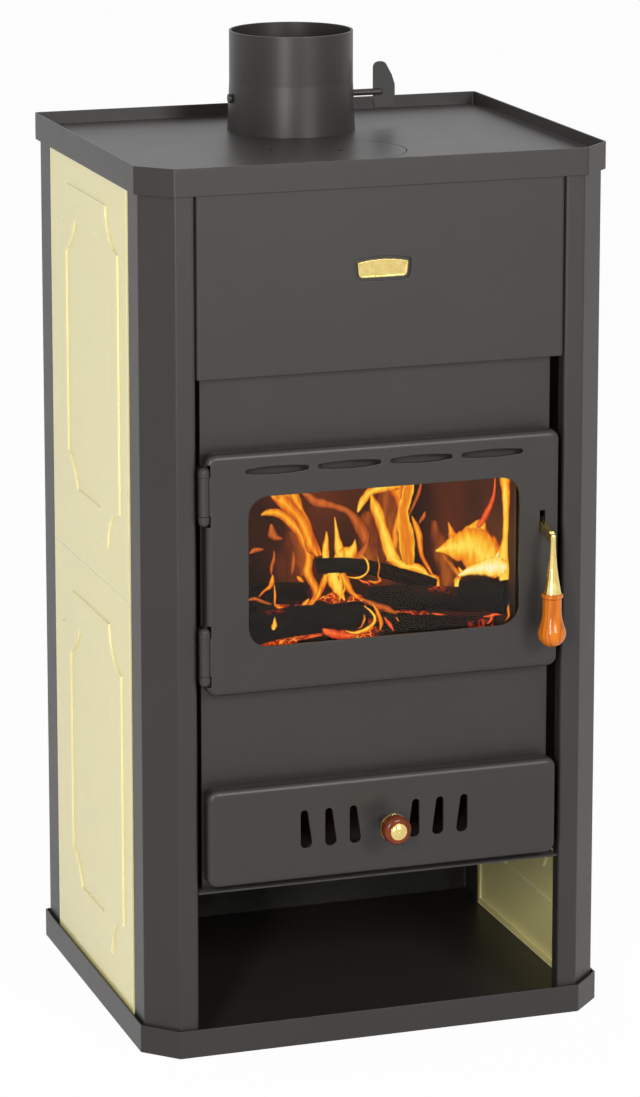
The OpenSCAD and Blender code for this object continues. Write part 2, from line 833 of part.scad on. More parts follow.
// Bare badge plate with a raised rim, in the pocket of the fascia
module badge_plate() {
    plate_t = 2;
    rim_w = 1.6;
    rim_t = 0.7;
    back_y = -post_y + pocket_depth;
    color(brass_color) translate([0, 0, badge_z]) difference() {
        facing_front(back_y - plate_t - rim_t, back_y) badge_outline(0, 5);
        facing_front(back_y - plate_t - rim_t - cut, back_y - plate_t) badge_outline(-rim_w, 3.6);
    }
}

// Front wall of the boiler, with the fire door's and the ash drawer's openings
module front_plate() {
    color(dark_steel) difference() {
        box([-body_x, plate_y, store_top_z], [body_x, body_front_y, plate_under_z]);
        box([-door_hole_x, plate_y - cut, door_hole_z0], [door_hole_x, body_front_y + cut, door_hole_z1]);
        box([-pit_hole_x, plate_y - cut, pit_hole_z0], [pit_hole_x, body_front_y + cut, pit_hole_z1]);
    }
}

// Outer wall of the boiler: two sides and the back
module jacket_shell() {
    color(black_steel) difference() {
        box([-body_x, body_front_y, jacket_bottom_z], [body_x, body_back_y, plate_under_z]);
        box([-body_x + jacket_wall, body_front_y - cut, jacket_bottom_z - cut],
            [body_x - jacket_wall, body_back_y - jacket_wall, plate_under_z + cut]);
        facing_front(body_back_y - jacket_wall - cut, body_back_y + cut) {
            for (p = main_sockets) translate(p) circle(d = socket_bore + 3);
            for (p = small_sockets) translate(p) circle(d = small_socket_bore + 3);
            translate(probe_place) circle(d = probe_tube_d + 0.2);
        }
    }
}

// Firebox wall: two sides and the back, with openings into the water shelf
module firebox_liner() {
    water_way = [firebox_back_y - shelf_front_y - 2 * shelf_wall - 12, shelf_h - 2 * shelf_wall - 8];
    color(black_steel) difference() {
        box([-liner_x, body_front_y, jacket_bottom_z + ring_t],
            [liner_x, liner_back_y, jacket_top_z - ring_t]);
        box([-firebox_x, body_front_y - cut, jacket_bottom_z], [firebox_x, firebox_back_y, jacket_top_z]);
        facing_side(-liner_x - cut, liner_x + cut) {
            translate([(shelf_front_y + firebox_back_y) / 2, shelf_z + shelf_h / 2])
                square(water_way, center = true);
        }
    }
}

// Flat rings that close the water jacket at its foot and its top
module jacket_rings() {
    color(black_steel) for (z = [jacket_bottom_z, jacket_top_z - ring_t]) {
        difference() {
            box([-body_x + jacket_wall, body_front_y, z],
                [body_x - jacket_wall, body_back_y - jacket_wall, z + ring_t]);
            box([-firebox_x, body_front_y - cut, z - cut], [firebox_x, firebox_back_y, z + ring_t + cut]);
        }
    }
}

// Stays that hold the two walls of the jacket together
module jacket_stays() {
    side_ys = [-0.6, 0, 0.6];
    rear_xs = [-0.5, 0.5];
    color(black_steel) {
        both_sides() for (k = side_ys, z = stay_zs) {
            translate([liner_x, k * (liner_back_y - body_front_y) / 2 + (liner_back_y + body_front_y) / 2, z])
                rotate([0, 90, 0]) cylinder(d = stay_d, h = side_water_gap);
        }
        for (k = rear_xs, z = stay_zs) {
            translate([k * firebox_x, liner_back_y, z]) rotate([-90, 0, 0])
                cylinder(d = stay_d, h = rear_water_gap);
        }
    }
}

// Flat water-filled box over the fire, open at both ends into the side jackets
module water_shelf() {
    color(black_steel) difference() {
        box([-firebox_x, shelf_front_y, shelf_z], [firebox_x, firebox_back_y, shelf_z + shelf_h]);
        box([-firebox_x - cut, shelf_front_y + shelf_wall, shelf_z + shelf_wall],
            [firebox_x + cut, firebox_back_y - shelf_wall, shelf_z + shelf_h - shelf_wall]);
    }
}

module firebox_floor() {
    hole = [grate_w / 2 - grate_ledge, grate_d / 2 - grate_ledge];
    color(black_steel) difference() {
        box([-firebox_x, body_front_y, firebox_floor_z - firebox_floor_t],
            [firebox_x, firebox_back_y, firebox_floor_z]);
        box([-hole.x, grate_y - hole.y, firebox_floor_z - firebox_floor_t - cut],
            [hole.x, grate_y + hole.y, firebox_floor_z + cut]);
    }
}

// Cast grate on the firebox floor, with two rows of slots and a rib that drops into the floor's opening
module grate() {
    rib_play = 1;
    slot_w = grate_w / grate_slots / 2;
    slot_l = grate_d / 2 - 18;
    rib = [grate_w / 2 - grate_ledge - rib_play, grate_d / 2 - grate_ledge - rib_play];
    color(black_steel) difference() {
        union() {
            box([-grate_w / 2, grate_y - grate_d / 2, firebox_floor_z + side_play],
                [grate_w / 2, grate_y + grate_d / 2, firebox_floor_z + side_play + grate_t]);
            box([-rib.x, grate_y - rib.y, firebox_floor_z - firebox_floor_t],
                [rib.x, grate_y + rib.y, firebox_floor_z + grate_t]);
        }
        for (k = [0:grate_slots - 1], side = [-1, 1]) {
            x = (k - (grate_slots - 1) / 2) * (grate_w - 2 * grate_ledge - 8) / grate_slots;
            translate([x, grate_y + side * (slot_l / 2 + 4), 0])
                translate([-slot_w / 2, -slot_l / 2, firebox_floor_z - 2 * firebox_floor_t])
                    cube([slot_w, slot_l, grate_t + 4 * firebox_floor_t]);
        }
    }
}

// Ash compartment under the firebox: floor, two sides and back
module ash_pit() {
    color(black_steel) difference() {
        union() {
            box([-body_x, body_front_y, store_top_z], [body_x, body_back_y, pit_floor_z]);
            box([-pit_x - pit_wall, body_front_y, store_top_z],
                [pit_x + pit_wall, liner_back_y, jacket_bottom_z]);
        }
        box([-pit_x, body_front_y - cut, pit_floor_z],
            [pit_x, liner_back_y - pit_wall, jacket_bottom_z + cut]);
    }
}

// Angle bars on which the ash box slides
module drawer_runners() {
    leg_t = 3;
    top_z = ash_box_z - side_play;
    color(black_steel) both_sides() {
        box([pit_x - leg_t, body_front_y, pit_floor_z], [pit_x, liner_back_y - pit_wall - 2, top_z]);
        box([ash_box_w / 2 - 10, body_front_y, top_z - leg_t], [pit_x, liner_back_y - pit_wall - 2, top_z]);
    }
}

// Threaded socket from the boiler's back wall out through the rear cover
module socket_tube(outer_d, bore_d) {
    translate([0, body_back_y, 0]) rotate([-90, 0, 0]) difference() {
        cylinder(d = outer_d, h = half_d + socket_proud - body_back_y);
        translate([0, 0, -cut]) cylinder(d = bore_d, h = half_d + socket_proud - body_back_y + 2 * cut);
    }
}

// Supply socket at the top left and return socket at the foot on the right, seen from the front
module water_sockets() {
    color(zinc_color) for (p = main_sockets) translate([p.x, 0, p.y]) socket_tube(socket_d, socket_bore);
}

// Socket for the safety valve at the top and for the drain cock at the foot
module small_water_sockets() {
    color(zinc_color) for (p = small_sockets) translate([p.x, 0, p.y])
        socket_tube(small_socket_d, small_socket_bore);
}

// Closed tube in the water that takes the probe of a thermometer or a pump switch
module probe_pocket() {
    tube_l = rear_water_gap - 8;
    color(zinc_color) translate([probe_place.x, body_back_y, probe_place.y]) rotate([-90, 0, 0])
        difference() {
        union() {
            cylinder(d = small_socket_bore + 9, h = half_d + socket_proud - body_back_y);
            translate([0, 0, -jacket_wall - tube_l])
                cylinder(d = probe_tube_d, h = jacket_wall + tube_l + cut);
        }
        translate([0, 0, 3 - jacket_wall - tube_l]) cylinder(d = probe_bore, h = 2 * half_d);
    }
}

// Flue collar: a sleeve round the damper that narrows to the spigot for the pipe
module flue_collar() {
    foot_z = plate_under_z - 4;
    color(dark_steel) translate([0, flue_y, 0]) difference() {
        union() {
            translate([0, 0, foot_z]) cylinder(d = sleeve_d, h = plate_top_z - foot_z, $fn = 96);
            translate([0, 0, plate_top_z]) cylinder(d1 = sleeve_d, d2 = spigot_d, h = sleeve_h, $fn = 96);
            translate([0, 0, plate_top_z + sleeve_h])
                cylinder(d = spigot_d, h = collar_h - sleeve_h, $fn = 96);
        }
        translate([0, 0, foot_z - cut]) cylinder(r = bore_r, h = collar_h + plate_top_z, $fn = 96);
        translate([-sleeve_d, 0, shaft_z]) rotate([0, 90, 0])
            cylinder(r = damper_shaft_d / 2 + running_fit, h = 2 * sleeve_d);
    }
}

// Round damper plate, upright at rest so that the flue stands open
module damper_plate() {
    color(black_steel) translate([0, flue_y, shaft_z]) rotate([-90, 0, 0])
        cylinder(r = damper_r, h = damper_t, $fn = 96);
}

// Damper shaft with a head outside the sleeve's left side and flats for the plate and the lever
module damper_shaft() {
    left_x = -(sleeve_d + spigot_d) / 4 - side_play;
    right_x = sleeve_d / 2 + damper_reach;
    color(dark_steel) translate([0, flue_y, shaft_z]) difference() {
        rotate([0, 90, 0]) {
            translate([0, 0, left_x]) cylinder(d = damper_shaft_d, h = right_x - left_x);
            translate([0, 0, left_x - 3]) cylinder(d = damper_shaft_d + 3, h = 3);
            translate([0, 0, right_x]) sphere(d = damper_shaft_d);
        }
        box([-damper_r - 0.5, 0, -damper_shaft_d], [damper_r + 0.5, damper_shaft_d, damper_shaft_d]);
        box([right_x - lever_lap, 0, -damper_shaft_d],
            [right_x + damper_shaft_d, damper_shaft_d, damper_shaft_d]);
    }
}

// Flat lever on the end of the damper shaft, in line with the damper plate
module damper_lever() {
    lever_t = 3;
    x = sleeve_d / 2 + damper_reach - lever_lap;
    outline = [[x, -20], [x + 27.4, -20], [x + 27.4, 8], [x + 23.5, 20], [x + 14.5, 36.5], [x, 36.5]];
    color(dark_steel) translate([0, 0, shaft_z]) facing_front(flue_y, flue_y + lever_t) {
        polygon(rounded_loop(outline, 6.8));
    }
}

// Pressed front, face at face_y, with rounded edges; the hollow behind it is open to the back
module pressed_front(w, h, z) {
    translate([0, 0, z + h / 2]) difference() {
        front_block(w, h, front_depth, edge_r, front_corner_r);
        translate([0, front_sheet, 0]) {
            front_hollow(w - 2 * front_sheet, h - 2 * front_sheet, front_depth + cut,
                edge_r - front_sheet / 2, front_corner_r - front_sheet);
        }
    }
}

// Hollow of a pressed front: two crossing profiles within a rounded outline
module front_hollow(w, h, depth, r, corner) {
    intersection() {
        facing_front(face_y, face_y + depth) rounded_rect(w, h, corner);
        rotate([90, 0, 90]) linear_extrude(w + 2, center = true) edge_profile(h, depth, r);
        rotate([0, 0, 90]) mirror([0, 1, 0]) linear_extrude(h + 2, center = true) edge_profile(w, depth, r);
    }
}

// Block behind face_y whose front edges have radius r and whose corners have radius corner
module front_block(w, h, depth, r, corner) {
    rotate([90, 0, 90]) linear_extrude(w - 2 * corner, center = true) edge_profile(h, depth, r);
    rotate([0, 0, 90]) mirror([0, 1, 0])
        linear_extrude(h - 2 * corner, center = true) edge_profile(w, depth, r);
    for (x = [-1, 1], z = [-1, 1]) translate([x * (w / 2 - corner), face_y, z * (h / 2 - corner)]) {
        rotate([-90, 0, 0]) rotate_extrude() intersection() {
            union() {
                square([corner - r, depth]);
                translate([0, r]) square([corner, depth - r]);
                translate([corner - r, r]) circle(r);
            }
            square([corner, depth]);
        }
    }
}

// Depth along x and size along y, with the two front corners rounded
module edge_profile(size, depth, r) {
    translate([face_y, -size / 2 + r]) square([depth, size - 2 * r]);
    translate([face_y + r, -size / 2]) square([depth - r, size]);
    for (side = [-1, 1]) translate([face_y + r, side * (size / 2 - r)]) circle(r);
}

// One lens-shaped air slot with round ends
module lens_slot() {
    half_l = air_slot_l / 2 - air_slot_end_r;
    rise = air_slot_rise - air_slot_end_r;
    arc_r = (half_l * half_l + rise * rise) / (2 * rise);
    half_turn = asin(half_l / arc_r);
    polygon(concat(
        arc([0, air_slot_rise - arc_r], arc_r, 90 - half_turn, 90 + half_turn, 16),
        arc([-half_l, 0], air_slot_end_r, 100, 260, 8),
        arc([0, arc_r - air_slot_rise], arc_r, 270 - half_turn, 270 + half_turn, 16),
        arc([half_l, 0], air_slot_end_r, -80, 80, 8)));
}

// Fire door: window, four air slots above it, handle slot and hollows for the hinges
module door_front() {
    color(dark_steel) difference() {
        pressed_front(door_w, door_h, door_z);
        facing_front(face_y - cut, inside_y + cut) {
            translate([0, window_mid_z]) rounded_rect(window_w, window_h, window_r);
            for (k = [-1.5:1:1.5]) translate([k * air_slot_pitch, air_slot_z]) lens_slot();
            translate([handle_x, pivot_z + (handle_slot_up - tongue_down - 1) / 2]) {
                square([tongue_w + 1, handle_slot_up + tongue_down + 1], center = true);
            }
        }
        for (z = hinge_zs) translate([hinge_x, hinge_y, z]) {
            translate([0, 0, -barrel_l / 2]) cylinder(r = barrel_d / 2 + 0.1, h = barrel_l);
            for (side = [0, 1]) upside_down(side) {
                translate([0, 0, barrel_l / 2])
                    cylinder(r = hinge_eye_d / 2 + 1.1, h = hinge_eye_l + pin_head_h + 2 * side_play + 1);
            }
        }
    }
}

// Rectangle between two corners with a smaller one taken out of it
module window_frame(low, high, inner_low, inner_high) {
    difference() {
        translate(low) square(high - low);
        translate(inner_low) square(inner_high - inner_low);
    }
}

// Folded channel on the back of the door that holds the seal and guides air down over the glass
module seal_channel() {
    s = [seal_channel_sheet, seal_channel_sheet];
    low = [-channel_out_x, channel_z0];
    high = [channel_out_x, channel_z1];
    in_low = low + [seal_channel_w, seal_channel_w];
    in_high = [channel_out_x - seal_channel_w, channel_in_top_z];
    groove_z = channel_z1 - seal_channel_w;
    notch_pitch = window_w / 6;
    color(black_steel) difference() {
        union() {
            facing_front(inside_y, channel_back_y) window_frame(low, high, low + s, high - s);
            facing_front(inside_y, channel_back_y) window_frame(in_low - s, in_high + s, in_low, in_high);
            facing_front(web_y, web_y + seal_channel_sheet) window_frame(low, high, in_low, in_high);
            box([in_low.x - s.x, web_y, groove_z],
                [in_high.x + s.x, channel_back_y, groove_z + seal_channel_sheet]);
        }
        for (k = [-2.5:1:2.5]) {
            translate([k * notch_pitch, (inside_y + web_y) / 2, in_high.y + s.y / 2]) {
                cube([notch_pitch - 21, 7, 3 * s.y], center = true);
            }
        }
    }
}

// Rope seal in the channel
module door_seal() {
    play = [side_play, side_play];
    s = [seal_channel_sheet, seal_channel_sheet] + play;
    w = [seal_channel_w - seal_channel_sheet, seal_channel_w - seal_channel_sheet] - play;
    color(rope_color) facing_front(web_y + seal_channel_sheet, plate_y - side_play) {
        window_frame([-channel_out_x, channel_z0] + s, [channel_out_x, channel_z1] - s,
            [-channel_out_x, channel_z0] + w, [channel_out_x, channel_z1] - w);
    }
}

module door_glass() {
    color(glass_color) translate([0, 0, window_mid_z])
        facing_front(inside_y + glass_seal_t, inside_y + glass_seal_t + glass_t) {
        rounded_rect(window_w + 2 * glass_overlap, window_h + 2 * glass_overlap, 6);
    }
}

// Flat seal between the glass and the door
module glass_seal() {
    color(rope_color) translate([0, 0, window_mid_z]) facing_front(inside_y, inside_y + glass_seal_t)
        difference() {
        rounded_rect(window_w + 2 * glass_overlap, window_h + 2 * glass_overlap, 6);
        rounded_rect(window_w + 2, window_h + 2, window_r);
    }
}

// Clips that press the glass against its seal, each with its distance boss and screw head
module glass_clips() {
    back_y = inside_y + glass_seal_t + glass_t;
    clip_w = 18;
    edge = window_h / 2 + glass_overlap;
    color(zinc_color) for (x = [-1, 1] * window_w * 3 / 11, side = [0, 1]) {
        translate([x, 0, window_mid_z]) upside_down(side) {
            box([-clip_w / 2, back_y, edge - 5], [clip_w / 2, back_y + 1.6, edge + 9.5]);
            translate([0, inside_y, edge + 5]) rotate([-90, 0, 0]) cylinder(r = 3.5, h = back_y - inside_y);
            translate([0, back_y + 1.6, edge + 5]) rotate([-90, 0, 0]) cylinder(r = 4, h = 2.4);
        }
    }
}

// Turns its children upside down where side is 1, and leaves them where it is 0
module upside_down(side) {
    mirror([0, 0, side]) children();
}

// Hinge barrels on the door's left edge
module door_barrels() {
    color(dark_steel) for (z = hinge_zs) translate([hinge_x, hinge_y, z - barrel_l / 2]) difference() {
        cylinder(d = barrel_d, h = barrel_l);
        translate([0, 0, -cut]) cylinder(r = hinge_pin_d / 2 + running_fit, h = barrel_l + 2 * cut);
    }
}

// Fixed half of each hinge: a joggled strip welded to the boiler's side, with an eye at each end
module hinge_brackets() {
    strip_t = 3;
    strip_y = hinge_y + barrel_d / 2 + 0.6;
    strip = [
        [-body_x, plate_y + 20], [-body_x, plate_y - 5], [hinge_x, plate_y - 11], [hinge_x, strip_y],
        [hinge_x - strip_t, strip_y], [hinge_x - strip_t, plate_y - 10], [-body_x - strip_t, plate_y - 4],
        [-body_x - strip_t, plate_y + 20]];
    color(dark_steel) for (z = hinge_zs) translate([0, 0, z]) {
        difference() {
            union() {
                translate([0, 0, -hinge_h / 2]) linear_extrude(hinge_h) polygon(strip);
                for (side = [0, 1]) upside_down(side) translate([0, 0, barrel_l / 2 + side_play]) {
                    translate([hinge_x, hinge_y, 0]) cylinder(d = hinge_eye_d, h = hinge_eye_l);
                    box([hinge_x - strip_t, hinge_y, 0], [hinge_x, strip_y + 0.5, hinge_eye_l]);
                }
            }
            translate([hinge_x, hinge_y, -hinge_h]) cylinder(r = hinge_pin_d / 2 + 0.02, h = 2 * hinge_h);
        }
    }
}

// Hinge pins with a domed head at each end
module hinge_pins() {
    color(dark_steel) for (z = hinge_zs) translate([hinge_x, hinge_y, z]) {
        translate([0, 0, -hinge_h / 2]) cylinder(d = hinge_pin_d, h = hinge_h);
        for (side = [0, 1]) upside_down(side) translate([0, 0, hinge_h / 2])
            dome(hinge_eye_d / 2, pin_head_h);
    }
}

// Bracket behind the door face whose two ears hold the handle's pin
module handle_bracket() {
    x0 = handle_x - tongue_w / 2 - side_play;
    x1 = hook_x + hook_t + side_play;
    base_t = 1.5;
    z0 = pivot_z - 14;
    z1 = pivot_z + handle_slot_up + 4;
    color(black_steel) difference() {
        union() {
            box([x0 - ear_t, inside_y, z0], [x1 + ear_t, inside_y + base_t, z1]);
            for (x = [x0 - ear_t, x1]) facing_side(x, x + ear_t) {
                translate([pivot_y, pivot_z]) circle(ear_r);
                translate([inside_y, pivot_z - ear_r]) square([pivot_y - inside_y, 2 * ear_r]);
            }
        }
        box([x0, inside_y - cut, pivot_z - tongue_down - 1],
            [x1, inside_y + base_t + cut, pivot_z + handle_slot_up]);
        translate([x0 - ear_t - cut, pivot_y, pivot_z]) rotate([0, 90, 0])
            cylinder(r = handle_pin_d / 2 + 0.02, h = 40);
    }
}

module handle_pin() {
    x0 = handle_x - tongue_w / 2 - side_play - ear_t;
    x1 = hook_x + hook_t + side_play + ear_t;
    color(zinc_color) translate([x0 - 1, pivot_y, pivot_z]) rotate([0, 90, 0]) {
        cylinder(d = handle_pin_d, h = x1 - x0 + 2);
        translate([0, 0, x1 - x0 + 1]) cylinder(d = handle_pin_d + 3, h = 2);
    }
}

// Brass handle: a flat tongue through the door, an elbow and a cone that widens to the grip
module handle_lever() {
    elbow_z = pivot_z - 5;
    tang_l = 0.6 * grip_l;
    profile = [
        [0, 0], [2.6, 0], [3.4, -2], [3.3, -12],
        [0.2 * cone_d, -0.36 * cone_l], [0.267 * cone_d, -0.57 * cone_l],
        [0.371 * cone_d, -0.785 * cone_l], [0.5 * cone_d, -cone_l], [0, -cone_l]];
    color(brass_color) {
        difference() {
            union() {
                facing_side(handle_x - tongue_w / 2, handle_x + tongue_w / 2) {
                    translate([pivot_y, pivot_z]) circle(6.5);
                    translate([pivot_y, pivot_z]) polygon([
                        [0, 6.5], [face_y - pivot_y, tongue_up],
                        [5 - handle_reach, -2.5], [-1 - handle_reach, -6],
                        [-1 - handle_reach, -13], [4 - handle_reach, -15],
                        [-22, -11.5], [face_y - pivot_y, -tongue_down], [0, -6.5]]);
                }
                translate([handle_x, handle_y, elbow_z]) rotate_extrude() polygon(profile);
            }
            translate([handle_x - tongue_w, pivot_y, pivot_z]) rotate([0, 90, 0])
                cylinder(r = handle_pin_d / 2 + running_fit, h = 2 * tongue_w);
        }
        translate([handle_x, handle_y, elbow_z - cone_l - tang_l]) cylinder(d = tang_d, h = tang_l + cut);
    }
}

// Turned wooden grip: a collar, a neck and a round belly, bored for the handle's tang
module handle_grip() {
    top_z = pivot_z - 5 - cone_l;
    collar_h = 6;
    collar_r = grip_neck_d / 2 + 1.9;
    belly_r = grip_d / 2;
    flare_r = 60;
    flare_x = grip_neck_d / 2 + flare_r;
    flare_z = sqrt(pow(belly_r + flare_r, 2) - pow(flare_x, 2));
    join = atan2(flare_z, flare_x);
    profile = concat(
        arc([0, belly_r - grip_l], belly_r, -90, join, 16),
        arc([flare_x, belly_r - grip_l + flare_z], flare_r, 180 + join, 180, 8),
        [[grip_neck_d / 2, -collar_h]],
        arc([collar_r - collar_h / 2, -collar_h / 2], collar_h / 2, -90, 90, 8),
        [[0, 0]]);
    color(wood_color) translate([handle_x, handle_y, top_z]) difference() {
        rotate_extrude() polygon(profile);
        translate([0, 0, -0.6 * grip_l - 1]) cylinder(d = tang_d + 0.1, h = grip_l);
    }
}

// Steel hook beside the tongue that catches behind the keeper's bar
module latch_hook() {
    nose_y = keeper_y + keeper_pin_d / 2 + side_play - pivot_y;
    bar_z = keeper_z - pivot_z;
    under_z = bar_z - keeper_pin_d / 2 - 1;
    outline = concat(
        arc([0, 0], 6.5, 40, 262, 20),
        [[nose_y + 3, bar_z - 11], [nose_y + 5, bar_z - 6], [nose_y + 1.5, bar_z + 3], [nose_y, bar_z + 2]],
        [[nose_y, under_z], [keeper_y - pivot_y - 4, under_z]]);
    color(zinc_color) difference() {
        facing_side(hook_x, hook_x + hook_t) translate([pivot_y, pivot_z]) polygon(outline);
        translate([hook_x - cut, pivot_y, pivot_z]) rotate([0, 90, 0]) {
            cylinder(r = handle_pin_d / 2 + running_fit, h = hook_t + 2 * cut);
        }
    }
}

// Keeper on the front plate: two cheeks and the bar between them
module latch_keeper() {
    cheek_t = 2.5;
    side_gap = 1.5;
    x0 = hook_x - side_gap - cheek_t;
    x1 = hook_x + hook_t + side_gap + cheek_t;
    color(black_steel) {
        for (x = [x0, x1 - cheek_t]) {
            box([x, keeper_y - keeper_pin_d / 2 - 0.5, keeper_z - 8], [x + cheek_t, plate_y, keeper_z + 8]);
        }
        translate([x0, keeper_y, keeper_z]) rotate([0, 90, 0]) cylinder(d = keeper_pin_d, h = x1 - x0);
    }
}

// One drop-shaped air slot, upright along its outer side at x = 0
module drop_slot(grow) {
    top_r = drop_top_w / 2;
    foot_r = drop_foot_w / 2 - 0.5;
    top = [top_r, drop_h - top_r];
    inner_foot = [drop_foot_w - foot_r, foot_r];
    slope = atan2(top.y - inner_foot.y, top.x - inner_foot.x);
    side = slope - acos((foot_r - top_r) / norm(top - inner_foot));
    polygon(concat(
        arc([foot_r, foot_r], foot_r + grow, -180, -90, 6),
        arc(inner_foot, foot_r + grow, -90, side, 8),
        arc(top, top_r + grow, side, 180, 12)));
}

// The six air slots, three on each side
module drop_slots(grow) {
    for (side = [0, 1], k = [0:2]) mirror([side, 0]) {
        translate([-(drop_start + k * drop_pitch) - drop_foot_w / 2, drawer_z + drop_lift]) drop_slot(grow);
    }
}

// Front of the ash drawer, with the guides of the air shutter on its back
module drawer_front() {
    guide_x = shutter_x + crank_travel + 2;
    lip_y = shutter_y + shutter_t + side_play;
    lip_t = 1.5;
    color(dark_steel) difference() {
        union() {
            pressed_front(door_w, drawer_h, drawer_z);
            for (side = [0, 1]) translate([0, 0, (shutter_z0 + shutter_z1) / 2]) upside_down(side) {
                translate([0, 0, (shutter_z1 - shutter_z0) / 2 + side_play]) {
                    box([-guide_x, inside_y - 0.5, 0], [guide_x, lip_y + lip_t, 2]);
                    box([-guide_x, lip_y, -3], [guide_x, lip_y + lip_t, 2]);
                }
            }
        }
        facing_front(face_y - cut, inside_y + cut) drop_slots(0);
        translate([0, face_y - cut, knob_z]) rotate([-90, 0, 0])
            cylinder(r = stem_d / 2 + running_fit, h = front_sheet + 2 * cut);
    }
}

// Plate that closes the ash opening, with the four distance tubes that carry the drawer's front
module drawer_back_plate() {
    half_w = body_x - 8;
    z0 = drawer_z + 1.5;
    z1 = drawer_z + drawer_h - 5;
    tube_r = 6;
    color(black_steel) {
        difference() {
            box([-half_w, back_plate_y, z0], [half_w, back_plate_y + back_plate_t, z1]);
            box([-shutter_x - crank_travel - 2, back_plate_y - cut, shutter_z0 - 2],
                [shutter_x + crank_travel + 2, back_plate_y + back_plate_t + cut, shutter_z1 + 2]);
        }
        for (x = [-1, 1], z = [z0 + 17, z1 - 13]) {
            translate([x * (half_w - 10), inside_y, z]) rotate([-90, 0, 0])
                cylinder(r = tube_r, h = back_plate_y - inside_y);
        }
    }
}

// Open box that collects the ash
module ash_box() {
    x = ash_box_w / 2;
    y0 = back_plate_y + back_plate_t;
    s = ash_box_sheet;
    color(black_steel) difference() {
        box([-x, y0, ash_box_z], [x, y0 + ash_box_d, ash_box_z + ash_box_h]);
        box([-x + s, y0 - cut, ash_box_z + s], [x - s, y0 + ash_box_d - s, ash_box_z + ash_box_h + cut]);
    }
}

// Slotted plate that slides behind the drawer front; at rest its slots line up with the front's
module air_shutter() {
    pin = crank_r * [sin(-crank_angle), cos(crank_angle)];
    rise = crank_r - pin.y;
    color(black_steel) facing_front(shutter_y, shutter_y + shutter_t) difference() {
        translate([-shutter_x, shutter_z0]) square([2 * shutter_x, shutter_z1 - shutter_z0]);
        drop_slots(0.4);
        translate([pin.x, knob_z + pin.y + rise / 2])
            square([crank_pin_d + 1, crank_pin_d + rise + 1.4], center = true);
        translate([-crank_travel / 2, knob_z]) square([crank_travel + stem_d + 1, stem_d + 1], center = true);
    }
}

// Stem of the knob with its crank and crank pin
module knob_stem() {
    arm_y = shutter_y + shutter_t + 1.2;
    arm_t = 3;
    pin = crank_r * [sin(-crank_angle), cos(crank_angle)];
    color(dark_steel) translate([0, 0, knob_z]) {
        translate([0, arm_y, 0]) rotate([90, 0, 0])
            cylinder(d = stem_d, h = arm_y - face_y + knob_reach + 12);
        translate([0, face_y - side_play, 0]) rotate([90, 0, 0])
            cylinder(d = stem_d + 4, h = knob_reach - side_play);
        facing_front(arm_y, arm_y + arm_t)
            polygon(linked_outline([0, 0], stem_d / 2 + 3, pin, crank_pin_d / 2 + 2));
        translate([pin.x, arm_y + 0.5, pin.y]) rotate([90, 0, 0])
            cylinder(d = crank_pin_d, h = arm_y + 0.5 - shutter_y - 0.2);
    }
}

// Turned wooden knob
module air_knob() {
    side_r = 6;
    color(wood_color) translate([0, face_y - knob_reach - knob_plate_t, knob_z]) rotate([90, 0, 0])
        difference() {
        rotate_extrude() {
            square([knob_d / 2 - side_r, knob_l]);
            translate([0, side_r]) square([knob_d / 2, knob_l - 2 * side_r]);
            for (y = [side_r, knob_l - side_r]) translate([knob_d / 2 - side_r, y]) circle(side_r);
        }
        translate([0, 0, -cut]) cylinder(d = stem_d + 0.1, h = 12 - knob_plate_t + cut);
    }
}

// Brass plate behind the knob and domed brass cap on its front
module knob_brass() {
    plate_r = knob_d / 2 - 0.3;
    cap_r = 9.8;
    color(brass_color) translate([0, face_y - knob_reach, knob_z]) rotate([90, 0, 0]) {
        difference() {
            cylinder(r = plate_r, h = knob_plate_t);
            translate([0, 0, -cut]) cylinder(d = stem_d + 0.1, h = knob_plate_t + 2 * cut);
        }
        translate([0, 0, knob_plate_t + knob_l]) {
            cylinder(r = cap_r, h = 1);
            translate([0, 0, 1]) dome(cap_r - 1.5, 2.5);
        }
    }
}

plinth();
top_tray();
lid_ledge();
cooking_lid();
front_post_left();
front_post_right();
rear_post_left();
rear_post_right();
side_panel_lower_left();
side_panel_lower_right();
side_panel_upper_left();
side_panel_upper_right();
carrier_rails();
panel_rails();
rail_bolts();
store_ceiling();
rear_cover();
rear_cover_screws();
fascia();
badge_plate();
front_plate();
jacket_shell();
firebox_liner();
jacket_rings();
jacket_stays();
water_shelf();
firebox_floor();
grate();
ash_pit();
drawer_runners();
water_sockets();
small_water_sockets();
probe_pocket();
flue_collar();
damper_plate();
damper_shaft();
damper_lever();
door_front();
seal_channel();
door_seal();
door_glass();
glass_seal();
glass_clips();
door_barrels();
hinge_brackets();
hinge_pins();
handle_bracket();
handle_pin();
handle_lever();
handle_grip();
latch_hook();
latch_keeper();
drawer_front();
drawer_back_plate();
ash_box();
air_shutter();
knob_stem();
air_knob();
knob_brass();
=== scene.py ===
"""Looks of a wood stove that heats water: finishes, fire, floor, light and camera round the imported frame."""

import logging
import math
import random
from dataclasses import dataclass, field
from enum import Enum

import bmesh
import bpy
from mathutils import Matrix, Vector
from mathutils import noise as mathutils_noise


